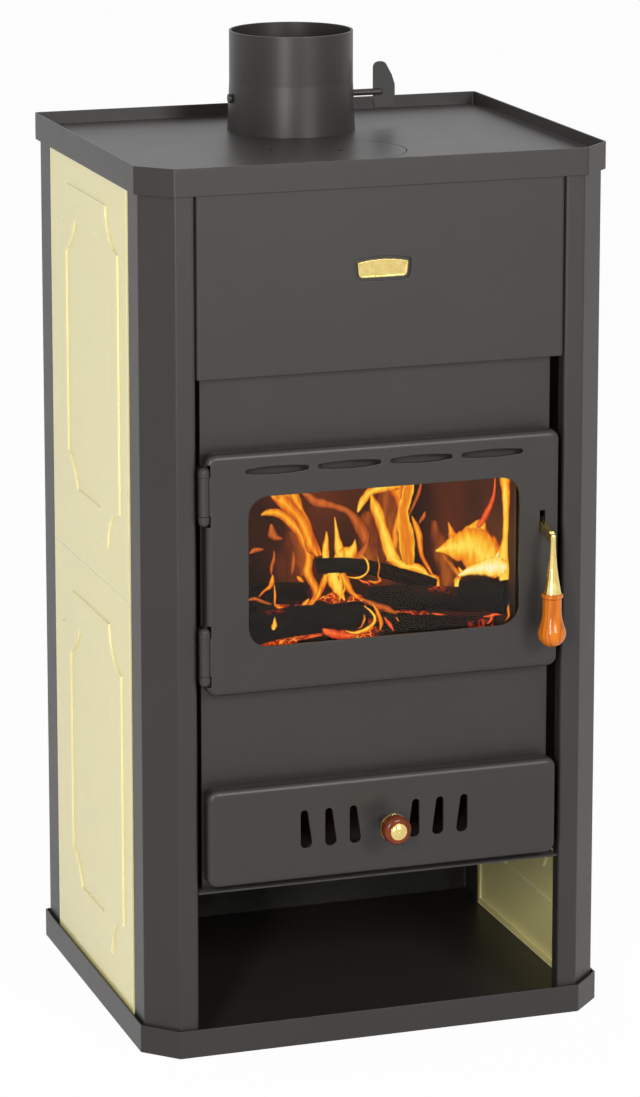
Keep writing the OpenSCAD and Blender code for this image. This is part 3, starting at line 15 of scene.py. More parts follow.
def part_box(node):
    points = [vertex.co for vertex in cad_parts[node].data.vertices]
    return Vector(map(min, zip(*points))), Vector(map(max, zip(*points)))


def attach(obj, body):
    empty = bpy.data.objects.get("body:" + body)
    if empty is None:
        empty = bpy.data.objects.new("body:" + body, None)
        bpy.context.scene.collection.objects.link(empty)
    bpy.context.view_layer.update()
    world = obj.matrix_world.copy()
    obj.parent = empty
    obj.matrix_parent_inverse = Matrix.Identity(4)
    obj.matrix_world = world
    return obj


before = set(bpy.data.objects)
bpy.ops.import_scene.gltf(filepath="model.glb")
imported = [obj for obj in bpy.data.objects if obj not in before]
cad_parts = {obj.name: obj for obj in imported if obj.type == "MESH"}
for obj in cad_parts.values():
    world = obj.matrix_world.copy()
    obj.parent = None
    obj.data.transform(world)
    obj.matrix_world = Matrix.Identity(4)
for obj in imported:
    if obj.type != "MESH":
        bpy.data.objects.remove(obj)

MM = 0.001
IMAGE_HEIGHT = 1097  # Rows of the photograph
SENSOR_MM = 36
BEVEL_SAMPLES = 6
NOISE_LOW, NOISE_HIGH = 0.3, 0.7  # Nearly all of a noise lies between these
RIM_START, RIM_FULL = 0.998, 0.955  # Cosine of the turn at an edge where its pale band of painted highlight begins, and where it is full
RELIEF_SHARE = 0.3  # Depth of a relief as a share of its grain's width
LOG = logging.getLogger("stove")

Tree = bpy.types.NodeTree
Socket = bpy.types.NodeSocket
Source = bpy.types.Node | bpy.types.NodeSocket
Point = tuple[float, float, float]
Stops = tuple[tuple[float, str], ...]


class Grain(Enum):
    """How the relief of a finish runs over a piece."""

    ORANGE_PEEL = "orange_peel"
    CAST = "cast"
    BRUSHED_UP = "brushed_up"
    PLAIN = "plain"


def linear(colour: str) -> tuple[float, float, float, float]:
    """Turn an sRGB hex colour into the linear values that a shader takes.

    Args:
        colour: Six hex digits, with or without a leading hash.

    Returns:
        Red, green, blue and an alpha of one.
    """
    digits = colour.lstrip("#")
    parts = []
    for place in (0, 2, 4):
        value = int(digits[place:place + 2], 16) / 255
        parts.append(value / 12.92 if value <= 0.04045 else ((value + 0.055) / 1.055) ** 2.4)
    return (*parts, 1.0)


def put(
    tree: Tree,
    kind: str,
    settings: dict | None = None,
    values: dict | None = None,
    links: dict | None = None,
    stops: Stops = (),
) -> bpy.types.Node:
    """Add one node to a tree with its settings, socket values and incoming links.

    Args:
        tree: The node tree that gets the node.
        kind: The node's type name.
        settings: Properties of the node itself.
        values: Socket names or numbers and the constants to set on them.
        links: Socket names or numbers and what feeds them, an output or a node that feeds them with its first one.
        stops: Where the node is a colour ramp, its places and sRGB hex colours, from low to high.

    Returns:
        The new node.
    """
    node = tree.nodes.new(kind)
    for name, value in (settings or {}).items():
        setattr(node, name, value)
    for name, value in (values or {}).items():
        node.inputs[name].default_value = value
    for name, source in (links or {}).items():
        output = source.outputs[0] if isinstance(source, bpy.types.Node) else source
        tree.links.new(output, node.inputs[name])
    if stops:
        elements = node.color_ramp.elements
        while len(elements) < len(stops):
            elements.new(0.5)
        for element, (place, colour) in zip(elements, stops):
            element.position = place
            element.color = linear(colour)
    return node


def sized(size_mm: float, detail: float = 3.0, rough: float = 0.5) -> dict[str, float]:
    """Return the values that give a noise features about size_mm across.

    Args:
        size_mm: Size of one feature in millimetres.
        detail: Octaves of the noise.
        rough: Strength of the finer octaves.

    Returns:
        Socket names and their values.
    """
    return {"Scale": 1 / (size_mm * MM), "Detail": detail, "Roughness": rough}


def new_material(name: str) -> tuple[bpy.types.Material, Tree, Socket]:
    """Start a material with an empty tree and the piece's own coordinates.

    Args:
        name: The finish's name.

    Returns:
        The material, its tree and the Object coordinate socket.
    """
    material = bpy.data.materials.new(name)
    material.use_nodes = True
    tree = material.node_tree
    tree.nodes.clear()
    place = put(tree, "ShaderNodeTexCoord")
    return material, tree, place.outputs["Object"]


@dataclass(frozen=True)
class Finish:
    """A finish with mottled colour, wandering roughness and a fine relief."""

    name: str
    colour: str
    shade: str
    patch_mm: float = 90.0
    metallic: float = 0.0
    rough: tuple[float, float] = (0.4, 0.5)
    ior: float = 1.5
    coat: float = 0.0
    coat_rough: float = 0.1
    grain: Grain = Grain.ORANGE_PEEL
    grain_mm: float = 1.5
    relief: float = 0.15
    edge_mm: float = 0.0
    dust: float = 0.0
    ash: str = "#8f8880"
    ash_mm: float = 14.0
    # Pale colour along the edges of a relief: painted highlight, partly the thinner glaze there
    rim_highlight: str = ""
    rim_highlight_mm: float = 1.4
    rim_highlight_cover: float = 0.85

    def base(self, tree: Tree, place: Socket) -> Source:
        """Return the colour, mottled between the main tone and its shade."""
        patches = put(tree, "ShaderNodeTexNoise", values=sized(self.patch_mm, 4.0, 0.6), links={"Vector": place})
        stops = ((NOISE_LOW, self.shade), (NOISE_HIGH, self.colour))
        colour = put(tree, "ShaderNodeValToRGB", links={"Fac": patches}, stops=stops)
        if self.dust > 0:
            colour = self.dusted(tree, place, colour)
        # Pale edges: painted highlight, partly thinner glaze
        if self.rim_highlight:
            colour = self.rimmed_with_painted_highlight(tree, colour)
        return colour

    def rimmed_with_painted_highlight(self, tree: Tree, colour: Source) -> Socket:
        """Pale the colour along the edges of the relief: painted highlight, and partly the thinner glaze where it runs
        off.

        Args:
            tree: The node tree.
            colour: The colour on the flat.

        Returns:
            The colour with its pale edges of painted highlight.
        """
        flat = put(tree, "ShaderNodeNewGeometry").outputs["True Normal"]
        round_off = put(tree, "ShaderNodeBevel", {"samples": BEVEL_SAMPLES}, {"Radius": self.rim_highlight_mm * MM})
        match = put(tree, "ShaderNodeVectorMath", {"operation": "DOT_PRODUCT"}, links={0: flat, 1: round_off})
        edge = put(
            tree,
            "ShaderNodeMapRange",
            {"clamp": True},
            {"From Min": RIM_START, "From Max": RIM_FULL, "To Max": self.rim_highlight_cover},
            {"Value": match.outputs["Value"]},
        )
        # Mix the pale edge colour in: painted highlight, partly thinner glaze
        mix = put(tree, "ShaderNodeMix", {"data_type": "RGBA"}, {7: linear(self.rim_highlight)}, {0: edge, 6: colour})
        return mix.outputs[2]

    def dusted(self, tree: Tree, place: Socket, colour: Source) -> Socket:
        """Lay pale ash on faces that look up.

        Args:
            tree: The node tree.
            place: The coordinates.
            colour: The clean colour.

        Returns:
            The dusted colour.
        """
        normal = put(tree, "ShaderNodeNewGeometry").outputs["Normal"]
        upward = put(tree, "ShaderNodeSeparateXYZ", links={0: normal}).outputs["Z"]
        lie = {"operation": "MULTIPLY", "use_clamp": True}
        lying = put(tree, "ShaderNodeMath", lie, {1: self.dust}, {0: upward})
        drift = put(tree, "ShaderNodeTexNoise", values=sized(self.ash_mm, 5.0, 0.7), links={"Vector": place})
        patch = put(tree, "ShaderNodeMath", {"operation": "MULTIPLY"}, links={0: lying, 1: drift})
        mix = put(tree, "ShaderNodeMix", {"data_type": "RGBA"}, {7: linear(self.ash)}, {0: patch, 6: colour})
        return mix.outputs[2]

    def height(self, tree: Tree, place: Socket) -> Source:
        """Return the relief's height for the finish's grain."""
        if self.grain is Grain.BRUSHED_UP:
            place = put(tree, "ShaderNodeMapping", values={"Scale": (1.0, 1.0, 0.02)}, links={"Vector": place})
        if self.grain is not Grain.CAST:
            return put(tree, "ShaderNodeTexNoise", values=sized(self.grain_mm, 2.0), links={"Vector": place})
        fine = put(tree, "ShaderNodeTexNoise", values=sized(self.grain_mm, 6.0, 0.75), links={"Vector": place})
        wide = put(tree, "ShaderNodeTexNoise", values=sized(self.grain_mm * 8, 2.0), links={"Vector": place})
        return put(tree, "ShaderNodeMath", {"operation": "ADD"}, links={0: fine, 1: wide})

    def build(self) -> bpy.types.Material:
        """Build the material.

        Returns:
            The finished material.
        """
        material, tree, place = new_material(self.name)
        wander = put(tree, "ShaderNodeTexNoise", values=sized(self.patch_mm / 3, 5.0, 0.65), links={"Vector": place})
        rough = put(
            tree,
            "ShaderNodeMapRange",
            values={"From Min": NOISE_LOW, "From Max": NOISE_HIGH, "To Min": self.rough[0], "To Max": self.rough[1]},
            links={"Value": wander},
        )
        links = {"Base Color": self.base(tree, place), "Roughness": rough}
        if self.edge_mm > 0:
            links["Normal"] = put(tree, "ShaderNodeBevel", {"samples": BEVEL_SAMPLES}, {"Radius": self.edge_mm * MM})
        if self.grain is not Grain.PLAIN:
            under = {"Normal": links["Normal"]} if "Normal" in links else {}
            links["Normal"] = put(
                tree,
                "ShaderNodeBump",
                values={"Strength": self.relief, "Distance": self.grain_mm * MM * RELIEF_SHARE},
                links={"Height": self.height(tree, place)} | under,
            )
        values = {"Metallic": self.metallic, "Coat Weight": self.coat, "Coat Roughness": self.coat_rough}
        if self.metallic < 0.5:
            values["IOR"] = self.ior
        shader = put(tree, "ShaderNodeBsdfPrincipled", values=values, links=links)
        put(tree, "ShaderNodeOutputMaterial", links={"Surface": shader})
        return material


@dataclass(frozen=True)
class WoodFinish(Finish):
    """Turned and lacquered wood: long growth lines under a clear, hard coat."""

    vein: str = "#8e3c10"
    ring_mm: float = 3.2
    fibre_mm: float = 0.7
    fibre_share: float = 0.45

    def base(self, tree: Tree, place: Socket) -> Source:
        """Return the wood's colour with growth lines along the piece."""
        stretched = put(tree, "ShaderNodeMapping", values={"Scale": (1.0, 1.0, 0.12)}, links={"Vector": place})
        rings = put(
            tree,
            "ShaderNodeTexWave",
            {"wave_type": "RINGS", "rings_direction": "Z"},
            {"Scale": 1 / (self.ring_mm * MM) / 6, "Distortion": 7.0, "Detail": 3.0, "Detail Scale": 1.6},
            {"Vector": stretched},
        )
        fibre = put(tree, "ShaderNodeTexNoise", values=sized(self.fibre_mm, 4.0, 0.7), links={"Vector": stretched})
        ring_share, lines = {1: 1 - self.fibre_share}, {0: rings.outputs["Fac"]}
        growth = put(tree, "ShaderNodeMath", {"operation": "MULTIPLY"}, ring_share, lines)
        blend = {"operation": "MULTIPLY_ADD"}
        both = put(tree, "ShaderNodeMath", blend, {1: self.fibre_share}, {0: fibre, 2: growth})
        stops = ((0.22, self.vein), (0.42, self.shade), (0.75, self.colour))
        return put(tree, "ShaderNodeValToRGB", links={"Fac": both}, stops=stops)


@dataclass(frozen=True)
class RopeFinish(Finish):
    """Braided glass fibre rope: two sets of strands that cross, each about 3 mm wide."""

    strand_mm: float = 3.0

    def height(self, tree: Tree, place: Socket) -> Source:
        """Return the height of the crossing strands."""
        sides = []
        for lean in (math.radians(45), math.radians(-45)):
            turned = put(tree, "ShaderNodeMapping", values={"Rotation": (0.3, lean, 0.2)}, links={"Vector": place})
            wave = put(
                tree,
                "ShaderNodeTexWave",
                {"bands_direction": "X", "wave_profile": "SIN"},
                {"Scale": 1 / (self.strand_mm * MM) / 3.14, "Distortion": 0.6, "Detail": 1.0},
                {"Vector": turned},
            )
            sides.append(wave.outputs["Fac"])
        return put(tree, "ShaderNodeMath", {"operation": "MAXIMUM"}, links={0: sides[0], 1: sides[1]})


@dataclass(frozen=True)
class GlassFinish:
    """Clear glass ceramic with a faint smoke tint and a little soot haze."""

    name: str = "clear_glass_ceramic"
    tint: str = "#f8f4ea"
    smoke: str = "#efe8da"
    smoke_mm: float = 60.0
    haze: float = 0.012
    haze_mm: float = 45.0
    wave_mm: float = 30.0
    wave_depth_mm: float = 0.4

    def build(self) -> bpy.types.Material:
        """Build the glass.

        Returns:
            The finished material.
        """
        material, tree, place = new_material(self.name)
        soot = put(tree, "ShaderNodeTexNoise", values=sized(self.haze_mm, 4.0, 0.6), links={"Vector": place})
        reach = {"From Min": 0.35, "From Max": 0.8, "To Min": 0.0, "To Max": self.haze}
        haze = put(tree, "ShaderNodeMapRange", values=reach, links={"Value": soot})
        ripple = put(tree, "ShaderNodeTexNoise", values=sized(self.wave_mm, 1.0), links={"Vector": place})
        depth = {"Strength": 0.05, "Distance": self.wave_depth_mm * MM}
        wave = put(tree, "ShaderNodeBump", values=depth, links={"Height": ripple})
        veil = put(tree, "ShaderNodeTexNoise", values=sized(self.smoke_mm, 2.0), links={"Vector": place})
        stops = ((0.2, self.smoke), (0.8, self.tint))
        colour = put(tree, "ShaderNodeValToRGB", links={"Fac": veil}, stops=stops)
        shader = put(
            tree,
            "ShaderNodeBsdfPrincipled",
            values={"IOR": 1.2, "Transmission Weight": 1.0},
            links={"Base Color": colour, "Roughness": haze, "Normal": wave},
        )
        put(tree, "ShaderNodeOutputMaterial", links={"Surface": shader})
        return material


# Satin powder coat on sheet steel: dark warm grey with a soft sheen and a hardly visible orange peel
CASING = Finish(
    "satin_powder_coated_steel", "#2b2826", "#292624", 160, 0.0, (0.385, 0.41), 1.4,
    grain_mm=1.6, relief=0.1, edge_mm=1.0,
)
# Heat-proof silicone paint on boiler steel: nearly black and matt, with a little ash where it looks up
BOILER = Finish(
    "matt_heat_proof_paint", "#26241f", "#1b1a18", 70, 0.0, (0.6, 0.78), grain_mm=1.2, relief=0.25, dust=0.25
)
# Vitreous enamel fired on pressed steel: pale cream with a green cast, glossy, slow waves in the glaze, pale edges that
# are painted highlight and partly the thinner glaze there
ENAMEL = Finish(
    "cream_vitreous_enamel", "#e5db98", "#e3d894", 120, 0.0, (0.2, 0.24), 1.45, 0.2, 0.08, Grain.ORANGE_PEEL,
    9.0, 0.015, 0.5, rim_highlight="#fffbe4",
)
# Zinc-plated steel: cool and bright, with cloudy patches
ZINC = Finish(
    "zinc_plated_steel", "#b9bcbd", "#8f9394", 9, 1.0, (0.28, 0.42), grain=Grain.BRUSHED_UP, grain_mm=0.5, relief=0.08
)
# Turned brass, polished and lacquered: pale warm yellow with a few darker clouds. Its polishing lines are finer than
# a tenth of a millimetre and are drawn coarser, so that they show
BRASS = Finish(
    "polished_brass", "#ecd690", "#d8bc6c", 12, 1.0, (0.13, 0.22),
    grain=Grain.BRUSHED_UP, grain_mm=0.6, relief=0.04, edge_mm=0.4,
)
# Turned beech, stained orange under thick clear lacquer: glossy with faint growth lines
WOOD = WoodFinish(
    "lacquered_orange_wood", "#c0680e", "#b6600a", 20, 0.0, (0.2, 0.26), 1.3, 0.12, 0.05, Grain.PLAIN, vein="#a2500a"
)
# The knob's wood: the same turned beech with a darker, redder stain
KNOB_WOOD = WoodFinish(
    "lacquered_red_wood", "#702a06", "#602204", 20, 0.0, (0.22, 0.3), 1.3, 0.12, 0.05, Grain.PLAIN, vein="#4e1c04"
)
# Braided glass fibre rope, greyed by heat: dull, woven, a little dirty
ROPE = RopeFinish("glass_fibre_rope", "#8d887c", "#5d594f", 15, 0.0, (0.85, 0.95), grain_mm=3.0, relief=0.6)
# Grey cast iron that has been in the fire: rough skin, rust-brown clouds and ash on top. Moulding sand is about
# 0.4 mm, and its grain is drawn at 1.4 mm to show
IRON = Finish(
    "fired_cast_iron", "#3a2f28", "#201d1b", 18, 0.0, (0.7, 0.85),
    grain=Grain.CAST, grain_mm=1.4, relief=0.5, dust=0.9,
)
# Bare firebox steel that has been hot: brown scale with darker soot
SCALE = Finish(
    "scaled_firebox_steel", "#382a22", "#1a1410", 60, 0.0, (0.7, 0.85), grain=Grain.CAST, grain_mm=1.6, relief=0.35
)
GLASS = GlassFinish()


@dataclass(frozen=True)
class CharFinish(Finish):
    """Burning wood: black, cracked char whose cracks glow in places."""

    glow: float = 0.0
    haze: float = 0.35
    strength: float = 1.3
    char_rough: tuple[float, float] = (0.8, 0.95)
    char_patch_mm: float = 25.0
    crack: float = 0.12
    crack_depth_mm: float = 1.5

    def build(self) -> bpy.types.Material:
        """Build the char.

        Returns:
            The finished material.
        """
        material, tree, place = new_material(self.name)
        scale = {"Scale": 1 / (self.grain_mm * MM)}
        cells = put(tree, "ShaderNodeTexVoronoi", {"feature": "DISTANCE_TO_EDGE"}, scale, {"Vector": place})
        gap = cells.outputs["Distance"]
        narrow = {"From Max": self.crack, "To Min": 1.0, "To Max": 0.0}
        crack = put(tree, "ShaderNodeMapRange", {"clamp": True}, narrow, {"Value": gap})
        zones = put(tree, "ShaderNodeTexNoise", values=sized(self.patch_mm, 4.0, 0.6), links={"Vector": place})
        alight = {"From Min": 0.62 - 0.3 * self.glow, "From Max": 0.78 - 0.3 * self.glow}
        heat = put(tree, "ShaderNodeMapRange", {"clamp": True}, alight, {"Value": zones})
        lit = put(tree, "ShaderNodeMath", {"operation": "MULTIPLY"}, links={0: heat, 1: crack})
        blend, share = {"operation": "MULTIPLY_ADD"}, {1: self.haze * self.glow}
        soft = put(tree, "ShaderNodeMath", blend, share, {0: heat, 2: lit})
        stops = ((0.0, "#000000"), (0.25, "#8e1c04"), (0.7, "#f0600c"), (1.0, "#ffc04a"))
        colour = put(tree, "ShaderNodeValToRGB", links={"Fac": soft}, stops=stops)
        depth = {"Strength": self.relief, "Distance": self.crack_depth_mm * MM}
        bump = put(tree, "ShaderNodeBump", values=depth, links={"Height": gap})
        wander = put(tree, "ShaderNodeTexNoise", values=sized(self.char_patch_mm), links={"Vector": place})
        reach = {"To Min": self.char_rough[0], "To Max": self.char_rough[1]}
        rough = put(tree, "ShaderNodeMapRange", values=reach, links={"Value": wander})
        shader = put(
            tree,
            "ShaderNodeBsdfPrincipled",
            values={"IOR": self.ior, "Emission Strength": self.strength},
            links={"Base Color": self.base(tree, place), "Roughness": rough, "Emission Color": colour, "Normal": bump},
        )
        put(tree, "ShaderNodeOutputMaterial", links={"Surface": shader})
        return material


@dataclass(frozen=True)
class FlameFinish:
    """A thin sheet of fire: its colour follows the heat, from its edge (0) to its middle (1)."""

    name: str
    stops: Stops
    opacity: float = 1.0
    soft: float = 0.14
    ragged: float = 0.3
    strength: float = 1.1
    lick_mm: float = 8.0
    fibre_mm: float = 4.5
    fibre: float = 0.42
    edge: float = 0.06
    edge_fade: float = 6.0
    middle_warmth: float = 0.75
    tip_cooling: float = 0.22
    least_heat: float = 0.16

    def build(self) -> bpy.types.Material:
        """Build the flame from the ribbon's own UV map: U across it and V along it.

        Returns:
            The finished material.
        """
        material, tree, place = new_material(self.name)
        split = put(tree, "ShaderNodeSeparateXYZ", links={0: put(tree, "ShaderNodeUVMap")})
        centred = put(tree, "ShaderNodeMath", {"operation": "SUBTRACT"}, {1: 0.5}, {0: split.outputs["X"]})
        side = put(tree, "ShaderNodeMath", {"operation": "ABSOLUTE"}, links={0: centred})
        inward = {"From Max": 0.5, "To Min": 1.0, "To Max": 0.0}
        across = put(tree, "ShaderNodeMapRange", values=inward, links={"Value": side})
        shape = self.shape(tree, place, across)
        inside = put(
            tree,
            "ShaderNodeMapRange",
            {"interpolation_type": "SMOOTHSTEP"},
            {"From Min": self.edge, "From Max": self.edge + self.soft},
            {"Value": shape},
        )
        near = put(tree, "ShaderNodeMath", {"operation": "MULTIPLY"}, {1: self.edge_fade}, {0: across})
        fade = put(tree, "ShaderNodeMath", {"operation": "MINIMUM"}, {1: 1.0}, {0: near})
        veil = put(tree, "ShaderNodeMath", {"operation": "MULTIPLY"}, {1: self.opacity}, {0: inside})
        cover = put(tree, "ShaderNodeMath", {"operation": "MULTIPLY"}, links={0: veil, 1: fade})
        heat = self.heat(tree, place, shape, split.outputs["Y"])
        colour = put(tree, "ShaderNodeValToRGB", links={"Fac": heat}, stops=self.stops)
        fire = put(tree, "ShaderNodeEmission", values={"Strength": self.strength}, links={"Color": colour})
        clear = put(tree, "ShaderNodeBsdfTransparent")
        mix = put(tree, "ShaderNodeMixShader", links={0: cover, 1: clear, 2: fire})
        put(tree, "ShaderNodeOutputMaterial", links={"Surface": mix})
        material.cycles.emission_sampling = "NONE"
        return material

    def shape(self, tree: Tree, place: Socket, across: Source) -> Source:
        """Tear the sheet's edge into licks.

        Args:
            tree: The node tree.
            place: The coordinates.
            across: 0 at the sheet's edges and 1 in its middle.

        Returns:
            The same value with a ragged edge.
        """
        tall = put(tree, "ShaderNodeMapping", values={"Scale": (1.0, 1.0, 0.35)}, links={"Vector": place})
        tongue = put(tree, "ShaderNodeTexNoise", values=sized(self.lick_mm), links={"Vector": tall})
        reach = {"To Min": -self.ragged, "To Max": self.ragged}
        lick = put(tree, "ShaderNodeMapRange", {"clamp": False}, reach, {"Value": tongue})
        return put(tree, "ShaderNodeMath", {"operation": "ADD"}, links={0: across, 1: lick})

    def heat(self, tree: Tree, place: Socket, shape: Source, along: Socket) -> Source:
        """Work out the heat: streaky, less towards the edge and less towards the tip.

        Args:
            tree: The node tree.
            place: The coordinates.
            shape: The place across the sheet, with its ragged edge.
            along: The place along the sheet.

        Returns:
            The heat, from 0 to 1.
        """
        tall = put(tree, "ShaderNodeMapping", values={"Scale": (1.0, 1.0, 0.22)}, links={"Vector": place})
        streak = put(tree, "ShaderNodeTexNoise", values=sized(self.fibre_mm, 2.0), links={"Vector": tall})
        reach = {"To Min": -self.fibre, "To Max": self.fibre}
        fibre = put(tree, "ShaderNodeMapRange", {"clamp": False}, reach, {"Value": streak})
        blend = {"operation": "MULTIPLY_ADD"}
        warm = put(tree, "ShaderNodeMath", blend, {1: self.middle_warmth}, {0: shape, 2: fibre})
        cool = put(tree, "ShaderNodeMath", blend, {1: -self.tip_cooling}, {0: along, 2: warm})
        return put(tree, "ShaderNodeMath", {"operation": "ADD"}, {1: self.least_heat}, {0: cool})


# Wood burnt to char: black and cracked, with a few cracks still alight
CHAR = CharFinish("charred_wood", "#141412", "#080807", 60, ior=1.2, grain_mm=8, relief=0.7, glow=0.04)
# Charcoal bed: small black pieces with red heat between them
EMBER = CharFinish("glowing_charcoal", "#1d1714", "#0c0a09", 45, ior=1.2, grain_mm=7, relief=0.7, glow=0.6)
# Painted firelight glow behind the flames: faint dark brown emitting sheets that stand in for the glow the fire casts
# there
GLOW = FlameFinish("painted_firelight_glow", ((0.1, "#160a06"), (0.5, "#3c1a0c"), (0.9, "#743410")), 0.7, 0.7, 0.5, 1.0)
# Thin fire between the flames: see-through orange-brown
HAZE = FlameFinish("thin_orange_fire", ((0.1, "#4c1c08"), (0.5, "#964414"), (0.9, "#cc6e1e")), 0.7, 0.6, 0.5, 1.0)
# Cool flame at the rim of the fire: deep orange-brown
EMBERED = FlameFinish("cool_flame", ((0.05, "#641e08"), (0.4, "#aa4c1a"), (0.8, "#d8742c")), 0.9, 0.3)
# Ordinary flame: orange with a yellower middle
ORANGE = FlameFinish(
    "orange_flame", ((0.05, "#8c2806"), (0.25, "#d85c0c"), (0.55, "#f08814"), (0.85, "#fdc232")), 0.96, 0.2
)
# Flame with a bright skin round an orange middle
RIMMED = FlameFinish(
    "bright_edged_flame",
    ((0.03, "#c04606"), (0.16, "#ffd03c"), (0.34, "#f6a222"), (0.6, "#e27610"), (0.9, "#f0941c")),
    0.97,
)
# Dense flame: yellow with a pale middle and an orange edge
YELLOW = FlameFinish("yellow_flame", ((0.05, "#b43606"), (0.2, "#ee7e10"), (0.42, "#f9b524"), (0.75, "#ffe058")))
# Hottest fire, low over the wood: nearly white
WHITE = FlameFinish(
    "white_hot_flame", ((0.05, "#f0841a"), (0.22, "#ffcf44"), (0.5, "#ffee8c"), (0.85, "#fffbd4")), 1.0, 0.3
)
# Glowing edges and coals: red-orange
RED = FlameFinish("red_heat", ((0.05, "#7e1804"), (0.35, "#d8401a"), (0.8, "#ff7c34")), 0.95, 0.3, 0.6)

Look = Finish | GlassFinish | FlameFinish
Coats = tuple[tuple[Finish | GlassFinish, str], ...]


@dataclass
class Workshop:
    """Builds each finish once and keeps its material."""

    made: dict[str, bpy.types.Material] = field(default_factory=dict)

    def material(self, finish: Look) -> bpy.types.Material:
        """Return the material of a finish, building it the first time."""
        if finish.name not in self.made:
            self.made[finish.name] = finish.build()
        return self.made[finish.name]

    def coat(self, thing: bpy.types.Object, finish: Look) -> None:
        """Put a finish on every material slot of an object."""
        material = self.material(finish)
        if not thing.material_slots:
            thing.data.materials.append(material)
        for slot in thing.material_slots:
            slot.material = material


def last_made(name: str) -> bpy.types.Object:
    """Name the object that an operator has just added and return it."""
    thing = bpy.context.active_object
    thing.name = name
    thing.data.name = name
    return thing


def join_all(things: list[bpy.types.Object], name: str) -> bpy.types.Object:
    """Join several mesh objects into one.

    Args:
        things: The objects.
        name: The joined object's name.

    Returns:
        The joined object, at the origin and unturned.
    """
    bpy.ops.object.select_all(action="DESELECT")
    for thing in things:
        thing.select_set(True)
    bpy.context.view_layer.objects.active = things[0]
    bpy.ops.object.join()
    bpy.ops.object.transform_apply(location=True, rotation=True, scale=True)
    return last_made(name)


@dataclass
class SubAssembly:
    """A group of pieces that belong together on the stove, with each finish and the CAD nodes that it covers."""

    shop: Workshop
    title: str = "group"
    coats: Coats = ()

    def pieces(self) -> list[bpy.types.Object]:
        """Make the pieces that only the looks need."""
        return []

    def build(self) -> int:
        """Dress the CAD nodes and make the group's own pieces.

        Returns:
            How many pieces were dressed or made.
        """
        count = 0
        for finish, names in self.coats:
            for name in names.split():
                self.shop.coat(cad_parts[name], finish)
                LOG.info("%s: %s in %s", self.title, name, finish.name)
                count += 1
        for piece in self.pieces():
            LOG.info("%s: made %s", self.title, piece.name)
            count += 1
        return count


@dataclass
class Casing(SubAssembly):
    """Plinth, tray, posts, panels, fascia and what holds them."""

    title: str = "casing"
    coats: Coats = (
        (CASING, "plinth top_tray front_post_left front_post_right rear_post_left rear_post_right fascia"),
        (ENAMEL, "side_panel_lower_left side_panel_lower_right side_panel_upper_left side_panel_upper_right"),
        (BOILER, "carrier_rails panel_rails store_ceiling rear_cover"),
        (ZINC, "rail_bolts rear_cover_screws"),
        (BRASS, "badge_plate"),
    )


@dataclass
class Boiler(SubAssembly):
    """Water jacket, firebox, ash compartment and water connections."""

    title: str = "boiler"
    coats: Coats = (
        (CASING, "front_plate"),
        (BOILER, "jacket_shell jacket_rings jacket_stays ash_pit drawer_runners"),
        (SCALE, "firebox_liner water_shelf firebox_floor"),
        (IRON, "grate"),
        (ZINC, "water_sockets small_water_sockets probe_pocket"),
    )


@dataclass
class Flue(SubAssembly):
    """Flue collar with its damper, and the cooking lid."""

    title: str = "flue"
    coats: Coats = (
        (CASING, "flue_collar damper_shaft damper_lever cooking_lid"),
        (BOILER, "damper_plate lid_ledge"),
    )


@dataclass
class FireDoor(SubAssembly):
    """Door front with its glass, seals, hinges, handle and latch."""

    title: str = "fire door"
    coats: Coats = (
        (CASING, "door_front door_barrels hinge_brackets hinge_pins"),
        (BOILER, "seal_channel handle_bracket latch_keeper"),
        (ROPE, "door_seal glass_seal"),
        (GLASS, "door_glass"),
        (ZINC, "glass_clips latch_hook handle_pin"),
        (BRASS, "handle_lever"),
        (WOOD, "handle_grip"),
    )


@dataclass
class AshDrawer(SubAssembly):
    """Ash drawer with its air shutter and knob."""

    title: str = "ash drawer"
    coats: Coats = (
        (CASING, "drawer_front knob_stem"),
        (BOILER, "drawer_back_plate ash_box air_shutter"),
        (KNOB_WOOD, "air_knob"),
        (BRASS, "knob_brass"),
    )


@dataclass(frozen=True)
class Flame:
    """One tongue of fire: how far back it stands, and points up its middle (X, Z, half width), in millimetres."""

    name: str
    y: float
    spine: tuple[Point, ...]
    finish: FlameFinish


@dataclass(frozen=True)
class Log:
    """One piece of burning wood between two points, in millimetres."""

    name: str
    start: Point
    end: Point
    radius: float


LOGS = (
    Log("burning_stick_top", (-33, -80, 535), (26, -84, 530), 8.7),
    Log("burning_stick_back", (41, -46, 520), (129, -50, 490), 9.1),
    Log("burning_log_back", (42, -60, 482), (162, -120, 487), 15.1),
    Log("burning_log_long", (127, -150, 503), (173, -180, 505), 20.9),
    Log("burning_log_left", (-92, -6, 485), (-15, -10, 482), 13.1),
    Log("burning_log_front", (-130, -128, 477), (16, -112, 479), 17.2),
    Log("burning_log_far_left", (-120, -90, 485), (-72, -60, 468), 15.4),
    Log("burning_log_under", (-46, -70, 463), (85, -90, 457), 12.5),
    Log("burning_log_low", (69, -90, 453), (170, -150, 460), 13.8),
    Log("burning_log_hidden", (-25, -40, 472), (7, -40, 458), 11.3),
)

